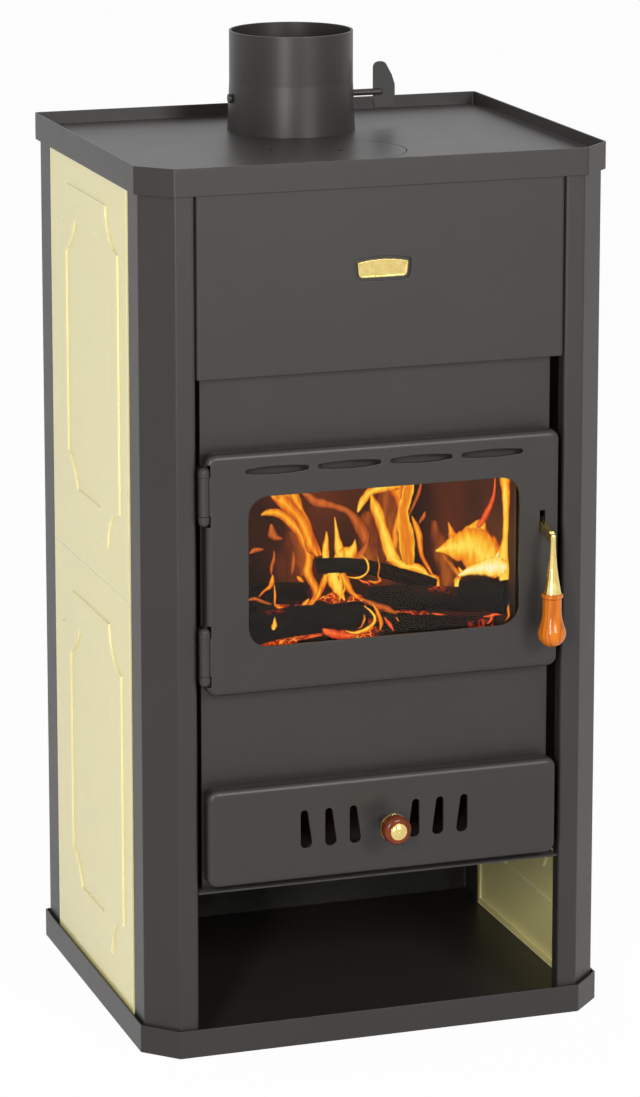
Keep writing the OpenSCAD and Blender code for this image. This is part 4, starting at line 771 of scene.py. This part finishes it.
FLAMES = (
    # glow_middle and glow_left are emitting sheets of painted firelight glow behind the fire
    Flame("glow_middle", 95, (
        (118.5, 451.5, 39), (115.5, 489.5, 46), (118.5, 532, 45), (123.5, 569, 39), (132, 597.5, 31),
    ), GLOW),
    Flame("glow_left", 92, ((-3, 457, 31), (-6, 489.5, 36), (-8.5, 524, 39), (-5.5, 561, 31), (-3, 592.5, 18)), GLOW),
    Flame("haze_middle", 20, (
        (105.5, 487.5, 13), (104, 508.5, 22), (98.5, 535.5, 27), (94.5, 562, 28), (95.5, 586, 29),
        (99.5, 611.5, 29),
    ), HAZE),
    Flame("haze_arc", -5, ((61.5, 508, 10), (61, 523.5, 16), (58.5, 542, 17), (57.5, 560.5, 13), (61.5, 576, 9)), HAZE),
    Flame("haze_right", -70, (
        (138, 494, 10), (136.5, 512.5, 14), (132.5, 533.5, 13), (125.5, 557.5, 9), (120, 576, 5),
    ), HAZE),
    Flame("haze_left", 5, ((-15.5, 501, 13), (-17, 522.5, 15), (-23.5, 543.5, 13), (-31.5, 560, 8)), HAZE),
    Flame("flame_sweep", -60, (
        (-93, 597, 0.7), (-86.5, 599, 3), (-78, 599, 4), (-67.5, 595.5, 4.5), (-56, 585.5, 5), (-45.5, 573.5, 6),
        (-37, 558, 6), (-33, 543.5, 6), (-34.5, 532, 5), (-36, 523.5, 4.8), (-31.5, 513, 4.3), (-25.5, 502.5, 4.5),
        (-24.5, 493.5, 3.8), (-30, 485.5, 2.3), (-36, 479, 0.8),
    ), ORANGE),
    Flame("flame_sweep_left", -63, (
        (-84.5, 627.5, 2), (-78.5, 623, 5), (-70, 615.5, 7), (-60.5, 606, 7), (-50, 595, 6), (-41.5, 581, 6),
        (-35, 565.5, 6), (-29, 551.5, 6), (-22, 541.5, 1.5),
    ), ORANGE),
    Flame("flame_sweep_right", -57, (
        (-56, 626.5, 5), (-52, 619, 6), (-47.5, 609.5, 4.5), (-43, 599, 3.2), (-36.5, 585.5, 4),
        (-30.5, 569.5, 4.5), (-23, 553.5, 3.8), (-16.5, 540.5, 1.3),
    ), ORANGE),
    Flame("flame_sweep_top", -61, ((-66.5, 629, 12), (-64, 622, 10), (-60.5, 614, 6), (-54.5, 603.5, 1.5)), ORANGE),
    Flame("flame_blob", -80, (
        (-87, 590.5, 1.2), (-86.5, 584.5, 4.2), (-85, 578, 5), (-80, 573.5, 3.7), (-73, 572, 1),
    ), EMBERED),
    Flame("flame_arc", -30, (
        (-35, 617, 1), (-27, 610.5, 3.8), (-15.5, 601, 5), (-0.5, 596, 4.5), (14, 591, 3.8), (27.5, 584, 4.5),
        (37, 572, 7), (44, 559.5, 8), (48.5, 546.5, 5), (50, 536, 1.3),
    ), EMBERED),
    Flame("flame_spike", -74, (
        (-16.5, 538.5, 3), (-16.5, 548, 4.2), (-16.5, 557, 3.7), (-16.5, 566, 2.5), (-16, 574.5, 0.5),
    ), YELLOW),
    Flame("flame_crown", -72, (
        (5, 536, 5), (3, 546, 6), (-0.5, 558, 4), (-3, 571, 2.5), (-4, 581.5, 1.2), (-4.5, 590, 0.5),
    ), YELLOW),
    Flame("flame_crown_low", -70, (
        (-3, 535, 3), (4, 540, 8), (12, 544, 9), (18, 548, 6), (21, 554, 2.5), (22, 560, 0.5),
    ), YELLOW),
    Flame("flame_crown_side", -66, ((22, 534, 4), (29, 540, 5), (35, 548, 3.4), (39, 557, 2), (40, 567, 0.5)), EMBERED),
    Flame("flame_curl", -14, (
        (43.5, 579, 0.8), (46.5, 586.5, 3), (50.5, 593.5, 4.6), (58, 600.5, 4.8), (68.5, 605.5, 5), (79.5, 608, 6),
        (91.5, 609, 6), (101.5, 611.5, 1.5),
    ), YELLOW),
    Flame("flame_main_left", -18, (
        (103.5, 502, 1.5), (95, 511.5, 4.8), (86.5, 524, 6), (80.5, 539.5, 6), (76.5, 555, 6), (71, 570, 6),
        (65.5, 582.5, 6), (61.5, 593, 4.1), (59.5, 601, 1.5),
    ), YELLOW),
    Flame("flame_main_loop", -10, (
        (82.5, 514.5, 1), (90, 525.5, 3.3), (93.5, 538, 3.8), (93.5, 549.5, 3.6), (97, 562.5, 3.6), (100, 576, 4.6),
        (99.5, 590, 7), (97.5, 601.5, 10), (97, 616, 11),
    ), ORANGE),
    Flame("flame_main_right", -22, (
        (105.5, 501.5, 1.5), (107, 513.5, 6), (105.5, 528, 8), (103, 544.5, 9), (100, 561, 8), (99, 575.5, 6),
        (101, 590, 7), (105, 602.5, 7), (109, 618, 4.1),
    ), RIMMED),
    Flame("flame_thin", -20, (
        (124, 611.5, 0.5), (121.5, 603.5, 2), (117, 593, 2.3), (112, 581, 1.8), (107, 569.5, 0.5),
    ), EMBERED),
    Flame("flame_spark", -24, ((127, 575.5, 0.5), (125, 571, 2.8), (122.5, 566, 2.3), (119.5, 560.5, 0.5)), EMBERED),
    Flame("flame_side", -30, (
        (107.5, 573, 0.5), (112, 561.5, 3), (116.5, 548, 3.8), (119, 534, 3.3), (121.5, 521.5, 2.8),
        (128, 509, 2.3), (134.5, 497.5, 0.8),
    ), ORANGE),
    Flame("flame_glow_low", -50, (
        (72.5, 531.5, 0.8), (82, 523, 3.8), (92.5, 516.5, 4.3), (107, 514, 5), (115.5, 508.5, 3.5), (122, 502, 3.3),
        (129, 495.5, 7), (134, 486.5, 1.5),
    ), YELLOW),
    Flame("flame_glow_ball", -60, ((152.5, 486, 1), (156.5, 494.5, 6), (160.5, 502.5, 4.6), (156.5, 513, 0.8)), YELLOW),
    Flame("flame_glow_strand", -62, (
        (135.5, 530, 0.5), (143.5, 520.5, 1.8), (151.5, 510, 2.8), (158.5, 500.5, 3.3), (162.5, 492.5, 1),
    ), ORANGE),
    Flame("flame_body", -182, (
        (82.5, 568.5, 0.5), (93.5, 570, 6), (105.5, 571.5, 14), (119.5, 571.5, 21), (131.5, 567.5, 23),
        (143, 558, 20), (153, 544, 12), (160, 530.5, 5),
    ), YELLOW),
    Flame("flame_body_tip", -128, (
        (118.5, 587, 0.5), (120.5, 579.5, 2.7), (123.5, 571, 5), (131, 561.5, 6), (140, 555, 2.5),
    ), ORANGE),
    Flame("flame_body_top", -134, (
        (159, 588, 4), (154, 580.5, 9), (148.5, 571, 14), (144.5, 561, 15), (143.5, 551, 10),
    ), YELLOW),
    Flame("flame_wisp", -159, (
        (164, 648.5, 0.5), (164, 635.5, 1.2), (163, 624, 2), (160, 612, 3), (154, 602, 3.7), (148, 593.5, 4.5),
        (141.5, 587.5, 2.5),
    ), RED),
    Flame("flame_white", -204, (
        (102.5, 543.5, 1), (114.5, 547, 4.4), (128, 548.5, 8), (143, 548.5, 11), (155, 549, 12), (163, 547.5, 4.1),
    ), WHITE),
    Flame("flame_edge", -199, (
        (161.5, 531, 5), (160, 548.5, 7), (161.5, 566, 5), (163.5, 585, 3.3), (163.5, 604, 3.7), (162.5, 622, 4.5),
        (161.5, 637, 5), (161, 651, 6), (159.5, 667.5, 4.4),
    ), YELLOW),
    Flame("flame_edge_tip", -184, (
        (155, 534, 4), (156, 546.5, 5), (159.5, 556, 4.2), (162, 563, 1.5), (163, 567.5, 0.5),
    ), WHITE),
    Flame("flame_under", -76, ((-7, 524, 8), (-6, 515, 9), (-3, 506, 7), (1, 498, 4.5), (7, 488, 0.8)), YELLOW),
    Flame("flame_under_left", -78, (
        (-17, 522, 3), (-21, 514, 3.7), (-24, 506, 3.5), (-28.5, 496.5, 3), (-34, 488.5, 1.5), (-38, 482.5, 0.5),
    ), ORANGE),
    Flame("flame_under_right", -75, (
        (2, 521, 5), (8, 510, 5), (14, 500, 3.3), (20.5, 492.5, 2.3), (28, 487, 0.8),
    ), ORANGE),
    Flame("flame_tail", -92, (
        (-44.5, 499, 1), (-48.5, 493, 3), (-52, 486, 2.7), (-54.5, 480, 1.5), (-56.5, 472.5, 0.5),
    ), ORANGE),
    Flame("flame_left_low", -94, (
        (-119.5, 504.5, 1.5), (-110.5, 504.5, 2.2), (-101, 500.5, 2), (-90.5, 496.5, 0.5),
    ), EMBERED),
    Flame("flame_left_mid", -92, (
        (-88.5, 531.5, 0.5), (-89, 523.5, 3.2), (-92.5, 518, 2.5), (-99, 514, 1.5), (-105.5, 506, 0.7),
    ), ORANGE),
    Flame("flame_left_thread", -91, (
        (-86, 518, 0.5), (-85.5, 506.5, 1.5), (-86.5, 496.5, 1.2), (-81, 491, 2.7), (-75, 489, 0.7),
    ), ORANGE),
    Flame("flame_left_drop", -150, (
        (-107, 481, 1.2), (-106, 486.5, 3.4), (-105, 492.5, 1.2), (-104.5, 496.5, 0.2),
    ), YELLOW),
    Flame("flame_faint_a", -40, ((-70.5, 547, 0.5), (-71, 536.5, 2), (-73, 526.5, 2), (-74, 517.5, 0.5)), EMBERED),
    Flame("flame_faint_b", -40, ((-47, 543.5, 0.5), (-45.5, 533, 2.3), (-46.5, 522.5, 2), (-49, 516.5, 0.5)), EMBERED),
    Flame("flame_faint_c", -40, ((-101, 546.5, 1.3), (-94.5, 549, 2.8), (-88, 550, 2.3), (-83, 550, 0.5)), EMBERED),
    Flame("flame_faint_d", -40, ((-41.5, 513, 0.5), (-37.5, 509, 2.5), (-33, 504.5, 0.5)), ORANGE),
    Flame("rim_stick", -86, (
        (23.5, 544, 0.2), (29.5, 539.5, 1), (32.5, 531.5, 1.1), (30.5, 524, 1.1), (24, 519, 1.3), (16, 517.5, 1.3),
        (5.5, 520, 0.2),
    ), YELLOW),
    Flame("rim_stick_far", -60, (
        (54, 533.5, 0.3), (55.5, 522, 0.8), (53.5, 511.5, 1), (56.5, 505, 1.8), (51, 502.5, 1.8),
        (41.5, 505.5, 0.5),
    ), ORANGE),
    Flame("rim_stick_low", -84, ((21.5, 515, 0.5), (26.5, 512, 1.5), (33, 509.5, 1.3), (35.5, 506, 0.3)), RED),
    Flame("rim_front_log", -142, (
        (7.5, 498.5, 0.2), (14.5, 493, 1), (20.5, 485, 1.5), (21, 478, 1.7), (15, 471.5, 2), (4.5, 467.5, 2),
        (-6.5, 467, 1.7), (-16, 471, 0.5),
    ), YELLOW),
    Flame("rim_front_inner", -143, ((6.5, 488.5, 0.2), (8.5, 482, 1), (4.5, 474.5, 1), (0, 472.5, 0.2)), ORANGE),
    Flame("heat_front", -146, (
        (-45, 476, 0.7), (-38.5, 472, 4.4), (-29.5, 469, 6), (-19, 466, 4.9), (-4.5, 464.5, 1.5),
    ), RED),
    Flame("heat_front_small", -146, ((-67, 464.5, 0.2), (-59.5, 468, 1.5), (-51, 469, 1.2), (-45, 467.5, 0.2)), RED),
    Flame("heat_right_a", -100, (
        (109.5, 469.5, 0.5), (119, 466.5, 2.3), (131, 462.5, 2.8), (139, 456.5, 2.3), (146, 451.5, 0.8),
    ), RED),
    Flame("heat_right_b", -119, ((128, 469, 0.8), (140, 465.5, 3), (152, 464, 2.8), (164.5, 465.5, 1.3)), RED),
    Flame("heat_right_c", -190, ((140, 486.5, 0.5), (149, 487, 2), (160, 487.5, 1.5), (165, 488.5, 0.5)), RED),
    Flame("heat_right_d", -111, ((164, 466.5, 0.3), (165, 460.5, 1), (164, 454, 0.5)), RED),
    Flame("heat_right_e", -157, ((165, 480, 0.5), (162, 473.5, 1.5), (157, 467.5, 0.5)), RED),
    Flame("heat_right_f", -204, ((166.5, 502, 0.2), (165.5, 495.5, 1.5), (165.5, 489, 1.2), (163, 483, 0.2)), ORANGE),
    Flame("heat_right_g", -103, ((147.5, 457, 0.3), (154.5, 455, 1.3), (161, 453, 0.5)), RED),
    Flame("flame_mid_low", -110, (
        (39, 457, 0.5), (40, 466, 2), (37.5, 476.5, 2.2), (33.5, 485.5, 1.7), (28, 493, 0.2),
    ), ORANGE),
    Flame("flame_mid_haze", -96, (
        (20.5, 494.5, 0.7), (30, 489.5, 3), (42, 483.5, 4), (54, 478.5, 4), (64.5, 472.5, 0.8),
    ), EMBERED),
    Flame("flame_mid_drop", -105, ((46, 472, 0.5), (50.5, 465.5, 2.3), (54.5, 460, 2), (57.5, 454, 0.5)), RED),
    Flame("flame_mid_thread", -100, ((62.5, 469.5, 0.3), (68, 461, 1), (71.5, 451.5, 0.3)), ORANGE),
    Flame("flame_needle", -80, ((-1.5, 489, 0.3), (0.5, 495.5, 1.3), (3.5, 502, 1.5), (6, 507.5, 0.5)), YELLOW),
)


def between(points: tuple[Point, ...], at: float) -> Point:
    """Return a point on a smooth line through given points.

    Args:
        points: The points, each with three values.
        at: Place along the line, from 0 to 1.

    Returns:
        The values at that place.
    """
    place = at * (len(points) - 1)
    index = min(int(place), len(points) - 2)
    t = place - index
    a = points[max(index - 1, 0)]
    b = points[index]
    c = points[index + 1]
    d = points[min(index + 2, len(points) - 1)]
    values = []
    for p, q, r, s in zip(a, b, c, d):
        steps = (2 * p - 5 * q + 4 * r - s) * t * t + (3 * q - p - 3 * r + s) * t ** 3
        values.append(0.5 * (2 * q + (r - p) * t + steps))
    return tuple(values)


def random_height(x: float, y: float, size: float) -> float:
    """Return a smooth, repeatable height between about minus one and one times size."""
    return size * mathutils_noise.fractal(Vector((x, y, 3.7)), 1.0, 2.0, 4)


def heap_share(x: float, y: float) -> float:
    """Return the heap's height as a share of its middle's, at a place that goes from 0 there to 1 at its edges."""
    return (1 - abs(x) ** 3) * (1 - abs(y) ** 4)


@dataclass
class Fire(SubAssembly):
    """The fire behind the glass: charcoal bed, burning wood and flames, all above the grate. Sizes in millimetres."""

    title: str = "fire"
    bed_cells: int = 90
    bed_height: float = 46.0
    bed_bumps: float = 7.0
    side_gap: float = 4.0
    end_gap: float = 6.0
    lump_count: int = 90
    lump_seed: int = 11
    lump_size: tuple[float, float] = (5, 13)
    lump_stretch: tuple[float, float] = (0.6, 1.4)
    lump_chips: tuple[float, float] = (0.86, 1.1)
    lump_reach_x: tuple[float, float] = (-150, 150)
    lump_reach_y: tuple[float, float] = (-180, 110)
    lumps_height: float = 40.0
    heap_middle_y: float = -30.0
    heap_half_y: float = 172.0
    log_sides: int = 40
    log_cell: float = 6.0
    log_ridges: float = 0.1
    log_knots: float = 0.14
    log_bend: float = 0.15
    ribbon_cells: tuple[int, int] = (12, 64)
    ribbon_step: float = 0.02
    ribbon_least: float = 0.4
    ribbon_wave: float = 1.5
    ribbon_waver: float = 0.22
    ribbon_widen: float = 1.25
    wall_x: float = 168.0

    def pieces(self) -> list[bpy.types.Object]:
        """Make the fire's pieces.

        Returns:
            The new objects.
        """
        made = [self.bed(), self.lumps()]
        made += [self.wood(log, number) for number, log in enumerate(LOGS)]
        made += [self.ribbon(flame, number) for number, flame in enumerate(FLAMES)]
        for piece in made:
            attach(piece, "grate")
        return made

    def bed(self) -> bpy.types.Object:
        """Heap a bed of charcoal on the grate.

        Returns:
            The bed.
        """
        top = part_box("grate")[1].z
        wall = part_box("firebox_floor")
        half = (wall[1].x - wall[0].x) / 2 - self.side_gap * MM
        near, far = wall[0].y + self.end_gap * MM, wall[1].y - self.end_gap * MM
        bpy.ops.object.select_all(action="DESELECT")
        bpy.ops.mesh.primitive_grid_add(x_subdivisions=self.bed_cells, y_subdivisions=self.bed_cells, size=1)
        bed = last_made("charcoal_bed")
        for vertex in bed.data.vertices:
            x, y = vertex.co.x * 2, vertex.co.y * 2
            rise = self.bed_height * heap_share(x, y) + 0.5
            bumps = random_height(vertex.co.x * 9, vertex.co.y * 9, self.bed_bumps) * min(rise / 20, 1)
            vertex.co = Vector((x * half, near + (y + 1) / 2 * (far - near), top + (rise + bumps) * MM))
        self.shop.coat(bed, EMBER)
        bpy.ops.object.shade_smooth()
        return bed

    def lumps(self) -> bpy.types.Object:
        """Scatter broken charcoal over the bed.

        Returns:
            All lumps as one object.
        """
        rng = random.Random(self.lump_seed)
        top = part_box("grate")[1].z
        made = []
        for _ in range(self.lump_count):
            x = rng.uniform(*self.lump_reach_x)
            y = rng.uniform(*self.lump_reach_y)
            rise = self.lumps_height * heap_share(x / self.wall_x, (y - self.heap_middle_y) / self.heap_half_y)
            size = rng.uniform(*self.lump_size)
            spot = (x * MM, y * MM, top + (rise + size * 0.5) * MM)
            bpy.ops.object.select_all(action="DESELECT")
            bpy.ops.mesh.primitive_ico_sphere_add(subdivisions=2, radius=1, location=spot)
            lump = last_made("lump")
            lump.rotation_euler = [rng.uniform(0, 6.28) for _ in range(3)]
            lump.scale = [size * rng.uniform(*self.lump_stretch) * MM for _ in range(3)]
            for vertex in lump.data.vertices:
                vertex.co *= rng.uniform(*self.lump_chips)
            made.append(lump)
        heap = join_all(made, "charcoal_lumps")
        self.shop.coat(heap, EMBER)
        return heap

    def wood(self, log: Log, seed: int) -> bpy.types.Object:
        """Make one burning log.

        Args:
            log: Its ends and radius.
            seed: Number that shifts its bumps.

        Returns:
            The log.
        """
        start, end = Vector(log.start) * MM, Vector(log.end) * MM
        length = (end - start).length
        radius = log.radius * MM
        bpy.ops.object.select_all(action="DESELECT")
        sides = self.log_sides
        bpy.ops.mesh.primitive_cylinder_add(vertices=sides, radius=radius, depth=length, end_fill_type="TRIFAN")
        piece = last_made(log.name)
        shape = bmesh.new()
        shape.from_mesh(piece.data)
        along = [edge for edge in shape.edges if abs(edge.verts[0].co.z - edge.verts[1].co.z) > length * 0.9]
        cuts = max(8, int(length / MM / self.log_cell))
        bmesh.ops.subdivide_edges(shape, edges=along, cuts=cuts, use_grid_fill=True)
        turn = (end - start).to_track_quat("Z", "Y").to_matrix()
        middle = (start + end) / 2
        for vertex in shape.verts:
            co = vertex.co
            angle = math.atan2(co.y, co.x)
            across, up = math.cos(angle), math.sin(angle)
            ridges = random_height(across * 2.6 + seed * 9, up * 2.6 + co.z * 25, 1.0)
            knots = random_height(across + seed * 5, up + co.z * 14, 1.0)
            grow = 1 + self.log_ridges * ridges + self.log_knots * knots
            bend = math.sin(math.pi * (co.z / length + 0.5)) * radius * self.log_bend
            vertex.co = turn @ Vector((co.x * grow, co.y * grow + bend, co.z * (1 + 0.02 * ridges))) + middle
        shape.to_mesh(piece.data)
        shape.free()
        self.shop.coat(piece, CHAR)
        bpy.ops.object.shade_smooth_by_angle(angle=math.radians(50))
        return piece

    def ribbon(self, flame: Flame, seed: int) -> bpy.types.Object:
        """Make one flame as a curved ribbon that faces the window.

        Args:
            flame: Its middle line and widths.
            seed: Number that shifts its waves.

        Returns:
            The ribbon.
        """
        wide, long = self.ribbon_cells
        bpy.ops.object.select_all(action="DESELECT")
        bpy.ops.mesh.primitive_grid_add(x_subdivisions=wide, y_subdivisions=long, size=1, calc_uvs=True)
        piece = last_made(flame.name)
        for vertex in piece.data.vertices:
            across, at = vertex.co.x * 2, min(max(vertex.co.y + 0.5, 0), 1)
            x, z, half = between(flame.spine, at)
            ahead = between(flame.spine, min(at + self.ribbon_step, 1))
            behind = between(flame.spine, max(at - self.ribbon_step, 0))
            way = Vector((ahead[0] - behind[0], 0, ahead[1] - behind[1])).normalized()
            side = Vector((way.z, 0, -way.x))
            depth = flame.y + self.ribbon_wave * (math.sin(at * 7 + seed) - abs(across))
            waver = 1 + random_height(at * 4 + seed, across * 0.6, self.ribbon_waver)
            point = Vector((x, depth, z)) + side * across * max(half, self.ribbon_least) * self.ribbon_widen * waver
            point.x = min(point.x, self.wall_x)
            vertex.co = point * MM
        self.shop.coat(piece, flame.finish)
        return piece


@dataclass(frozen=True)
class Softbox:
    """One soft rectangular lamp: its place and the point that it faces, its width and height in metres, its watts."""

    name: str
    place: Point
    target: Point
    size: tuple[float, float]
    power: float


SOFTBOXES = (
    Softbox("key_softbox", (0.91, -3.65, 1.97), (0, 0, 0.6), (1.0, 1.0), 88),
    Softbox("strip_softbox", (-1.95, -3.3, 1.5), (0, 0, 0.5), (0.4, 1.6), 95),
    Softbox("left_softbox", (-3.41, 1.59, 1.97), (0, 0, 0.6), (1.6, 2.0), 10),
    Softbox("top_softbox", (0.3, 0.4, 4.0), (0, 0, 1), (2.0, 2.0), 12),
)


def hang(name: str, kind: str, place: Point, power: float) -> bpy.types.Object:
    """Hang one lamp.

    Args:
        name: The lamp's name.
        kind: Blender's name for its kind.
        place: Where it hangs, in metres.
        power: Watts.

    Returns:
        The lamp.
    """
    data = bpy.data.lights.new(name, kind)
    data.energy = power
    lamp = bpy.data.objects.new(name, data)
    bpy.context.scene.collection.objects.link(lamp)
    lamp.location = place
    return lamp


@dataclass
class Studio:
    """White room: pale floor, even light from all round and a few soft lamps."""

    ambient: float = 0.36
    floor_m: float = 60.0
    floor_white: float = 0.97
    floor_patch_mm: float = 900.0
    glows: tuple[tuple[Point, float], ...] = (((0.05, 0.02, 0.58), 2.2), ((0.13, -0.13, 0.56), 1.0))
    glow_m: float = 0.04
    glow_colour: str = "#ff8a32"

    def looking(self, tree: Tree) -> Source:
        """Return 1 for what the camera sees, straight, in a gloss or through glass, else 0.

        Args:
            tree: The node tree that needs it.

        Returns:
            The output that holds the value.
        """
        path = put(tree, "ShaderNodeLightPath")
        seen = path.outputs["Is Camera Ray"]
        for ray in ("Is Glossy Ray", "Is Transmission Ray"):
            seen = put(tree, "ShaderNodeMath", {"operation": "MAXIMUM"}, links={0: seen, 1: path.outputs[ray]})
        return seen

    def floor(self) -> None:
        """Lay the floor, white to the camera but for the faint shadow that it keeps."""
        bpy.ops.object.select_all(action="DESELECT")
        bpy.ops.mesh.primitive_plane_add(size=self.floor_m)
        floor = last_made("studio_floor")
        material, tree, place = new_material("pale_studio_floor")
        patches = put(tree, "ShaderNodeTexNoise", values=sized(self.floor_patch_mm), links={"Vector": place})
        stops = ((0.2, "#e6e5e3"), (0.8, "#ecebe9"))
        colour = put(tree, "ShaderNodeValToRGB", links={"Fac": patches}, stops=stops)
        matt = put(tree, "ShaderNodeBsdfDiffuse", links={"Color": colour})
        white = put(tree, "ShaderNodeEmission", values={"Strength": 1.0})
        seen = self.looking(tree)
        share = put(tree, "ShaderNodeMath", {"operation": "MULTIPLY"}, {1: self.floor_white}, {0: seen})
        mix = put(tree, "ShaderNodeMixShader", links={0: share, 1: matt, 2: white})
        put(tree, "ShaderNodeOutputMaterial", links={"Surface": mix})
        floor.data.materials.append(material)

    def sky(self) -> None:
        """Light the room evenly and show it white behind the stove."""
        world = bpy.data.worlds.new("white_studio")
        world.use_nodes = True
        tree = world.node_tree
        tree.nodes.clear()
        plain = linear("#ffffff")
        light = put(tree, "ShaderNodeBackground", values={"Color": plain, "Strength": self.ambient})
        white = put(tree, "ShaderNodeBackground", values={"Color": plain, "Strength": 1.0})
        mix = put(tree, "ShaderNodeMixShader", links={0: self.looking(tree), 1: light, 2: white})
        put(tree, "ShaderNodeOutputWorld", links={"Surface": mix})
        bpy.context.scene.world = world

    def softboxes(self) -> None:
        """Hang the soft lamps and turn each to what it faces."""
        for box in SOFTBOXES:
            lamp = hang(box.name, "AREA", box.place, box.power)
            lamp.data.shape = "RECTANGLE"
            lamp.data.size, lamp.data.size_y = box.size
            lamp.rotation_euler = (Vector(box.target) - Vector(box.place)).to_track_quat("-Z", "Y").to_euler()

    def firelight(self) -> None:
        """Put the fire's glow inside the firebox, seen only by what it lights."""
        for number, (place, power) in enumerate(self.glows):
            lamp = hang(f"fire_glow_{number}", "POINT", place, power)
            lamp.data.shadow_soft_size = self.glow_m
            lamp.data.color = linear(self.glow_colour)[:3]
            lamp.visible_camera = False
            lamp.visible_glossy = False
            lamp.visible_transmission = False

    def build(self) -> None:
        """Set up floor, sky and lamps."""
        self.floor()
        self.sky()
        self.softboxes()
        self.firelight()


@dataclass
class Viewpoint:
    """Camera of the photograph, found from the corners of the casing: metres, degrees and pixels of the photo."""

    place: Point = (-1.5704, -4.6815, 1.7963)
    down: float = 11.3812
    turn: float = 18.5601
    focal_px: float = 4223.84
    middle_px: float = 330.0
    reach_m: float = 200.0

    def build(self) -> None:
        """Make the camera and set how its picture is shown."""
        data = bpy.data.cameras.new("photo_camera")
        data.sensor_width = SENSOR_MM
        data.lens = self.focal_px / IMAGE_HEIGHT * SENSOR_MM
        data.shift_y = (self.middle_px - IMAGE_HEIGHT / 2) / IMAGE_HEIGHT
        data.clip_end = self.reach_m
        camera = bpy.data.objects.new("photo_camera", data)
        bpy.context.scene.collection.objects.link(camera)
        camera.location = self.place
        camera.rotation_euler = (math.radians(90 - self.down), 0, math.radians(-self.turn))
        bpy.context.scene.camera = camera
        bpy.context.scene.view_settings.view_transform = "Standard"


def main() -> None:
    """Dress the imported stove, light its fire and set up the studio."""
    logging.basicConfig(level=logging.INFO, format="%(name)s %(message)s")
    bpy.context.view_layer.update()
    shop = Workshop()
    total = 0
    for group in (Casing, Boiler, Flue, FireDoor, AshDrawer, Fire):
        total += group(shop).build()
    LOG.info("%d pieces in all", total)
    Studio().build()
    Viewpoint().build()


if __name__ == "__main__":
    main()
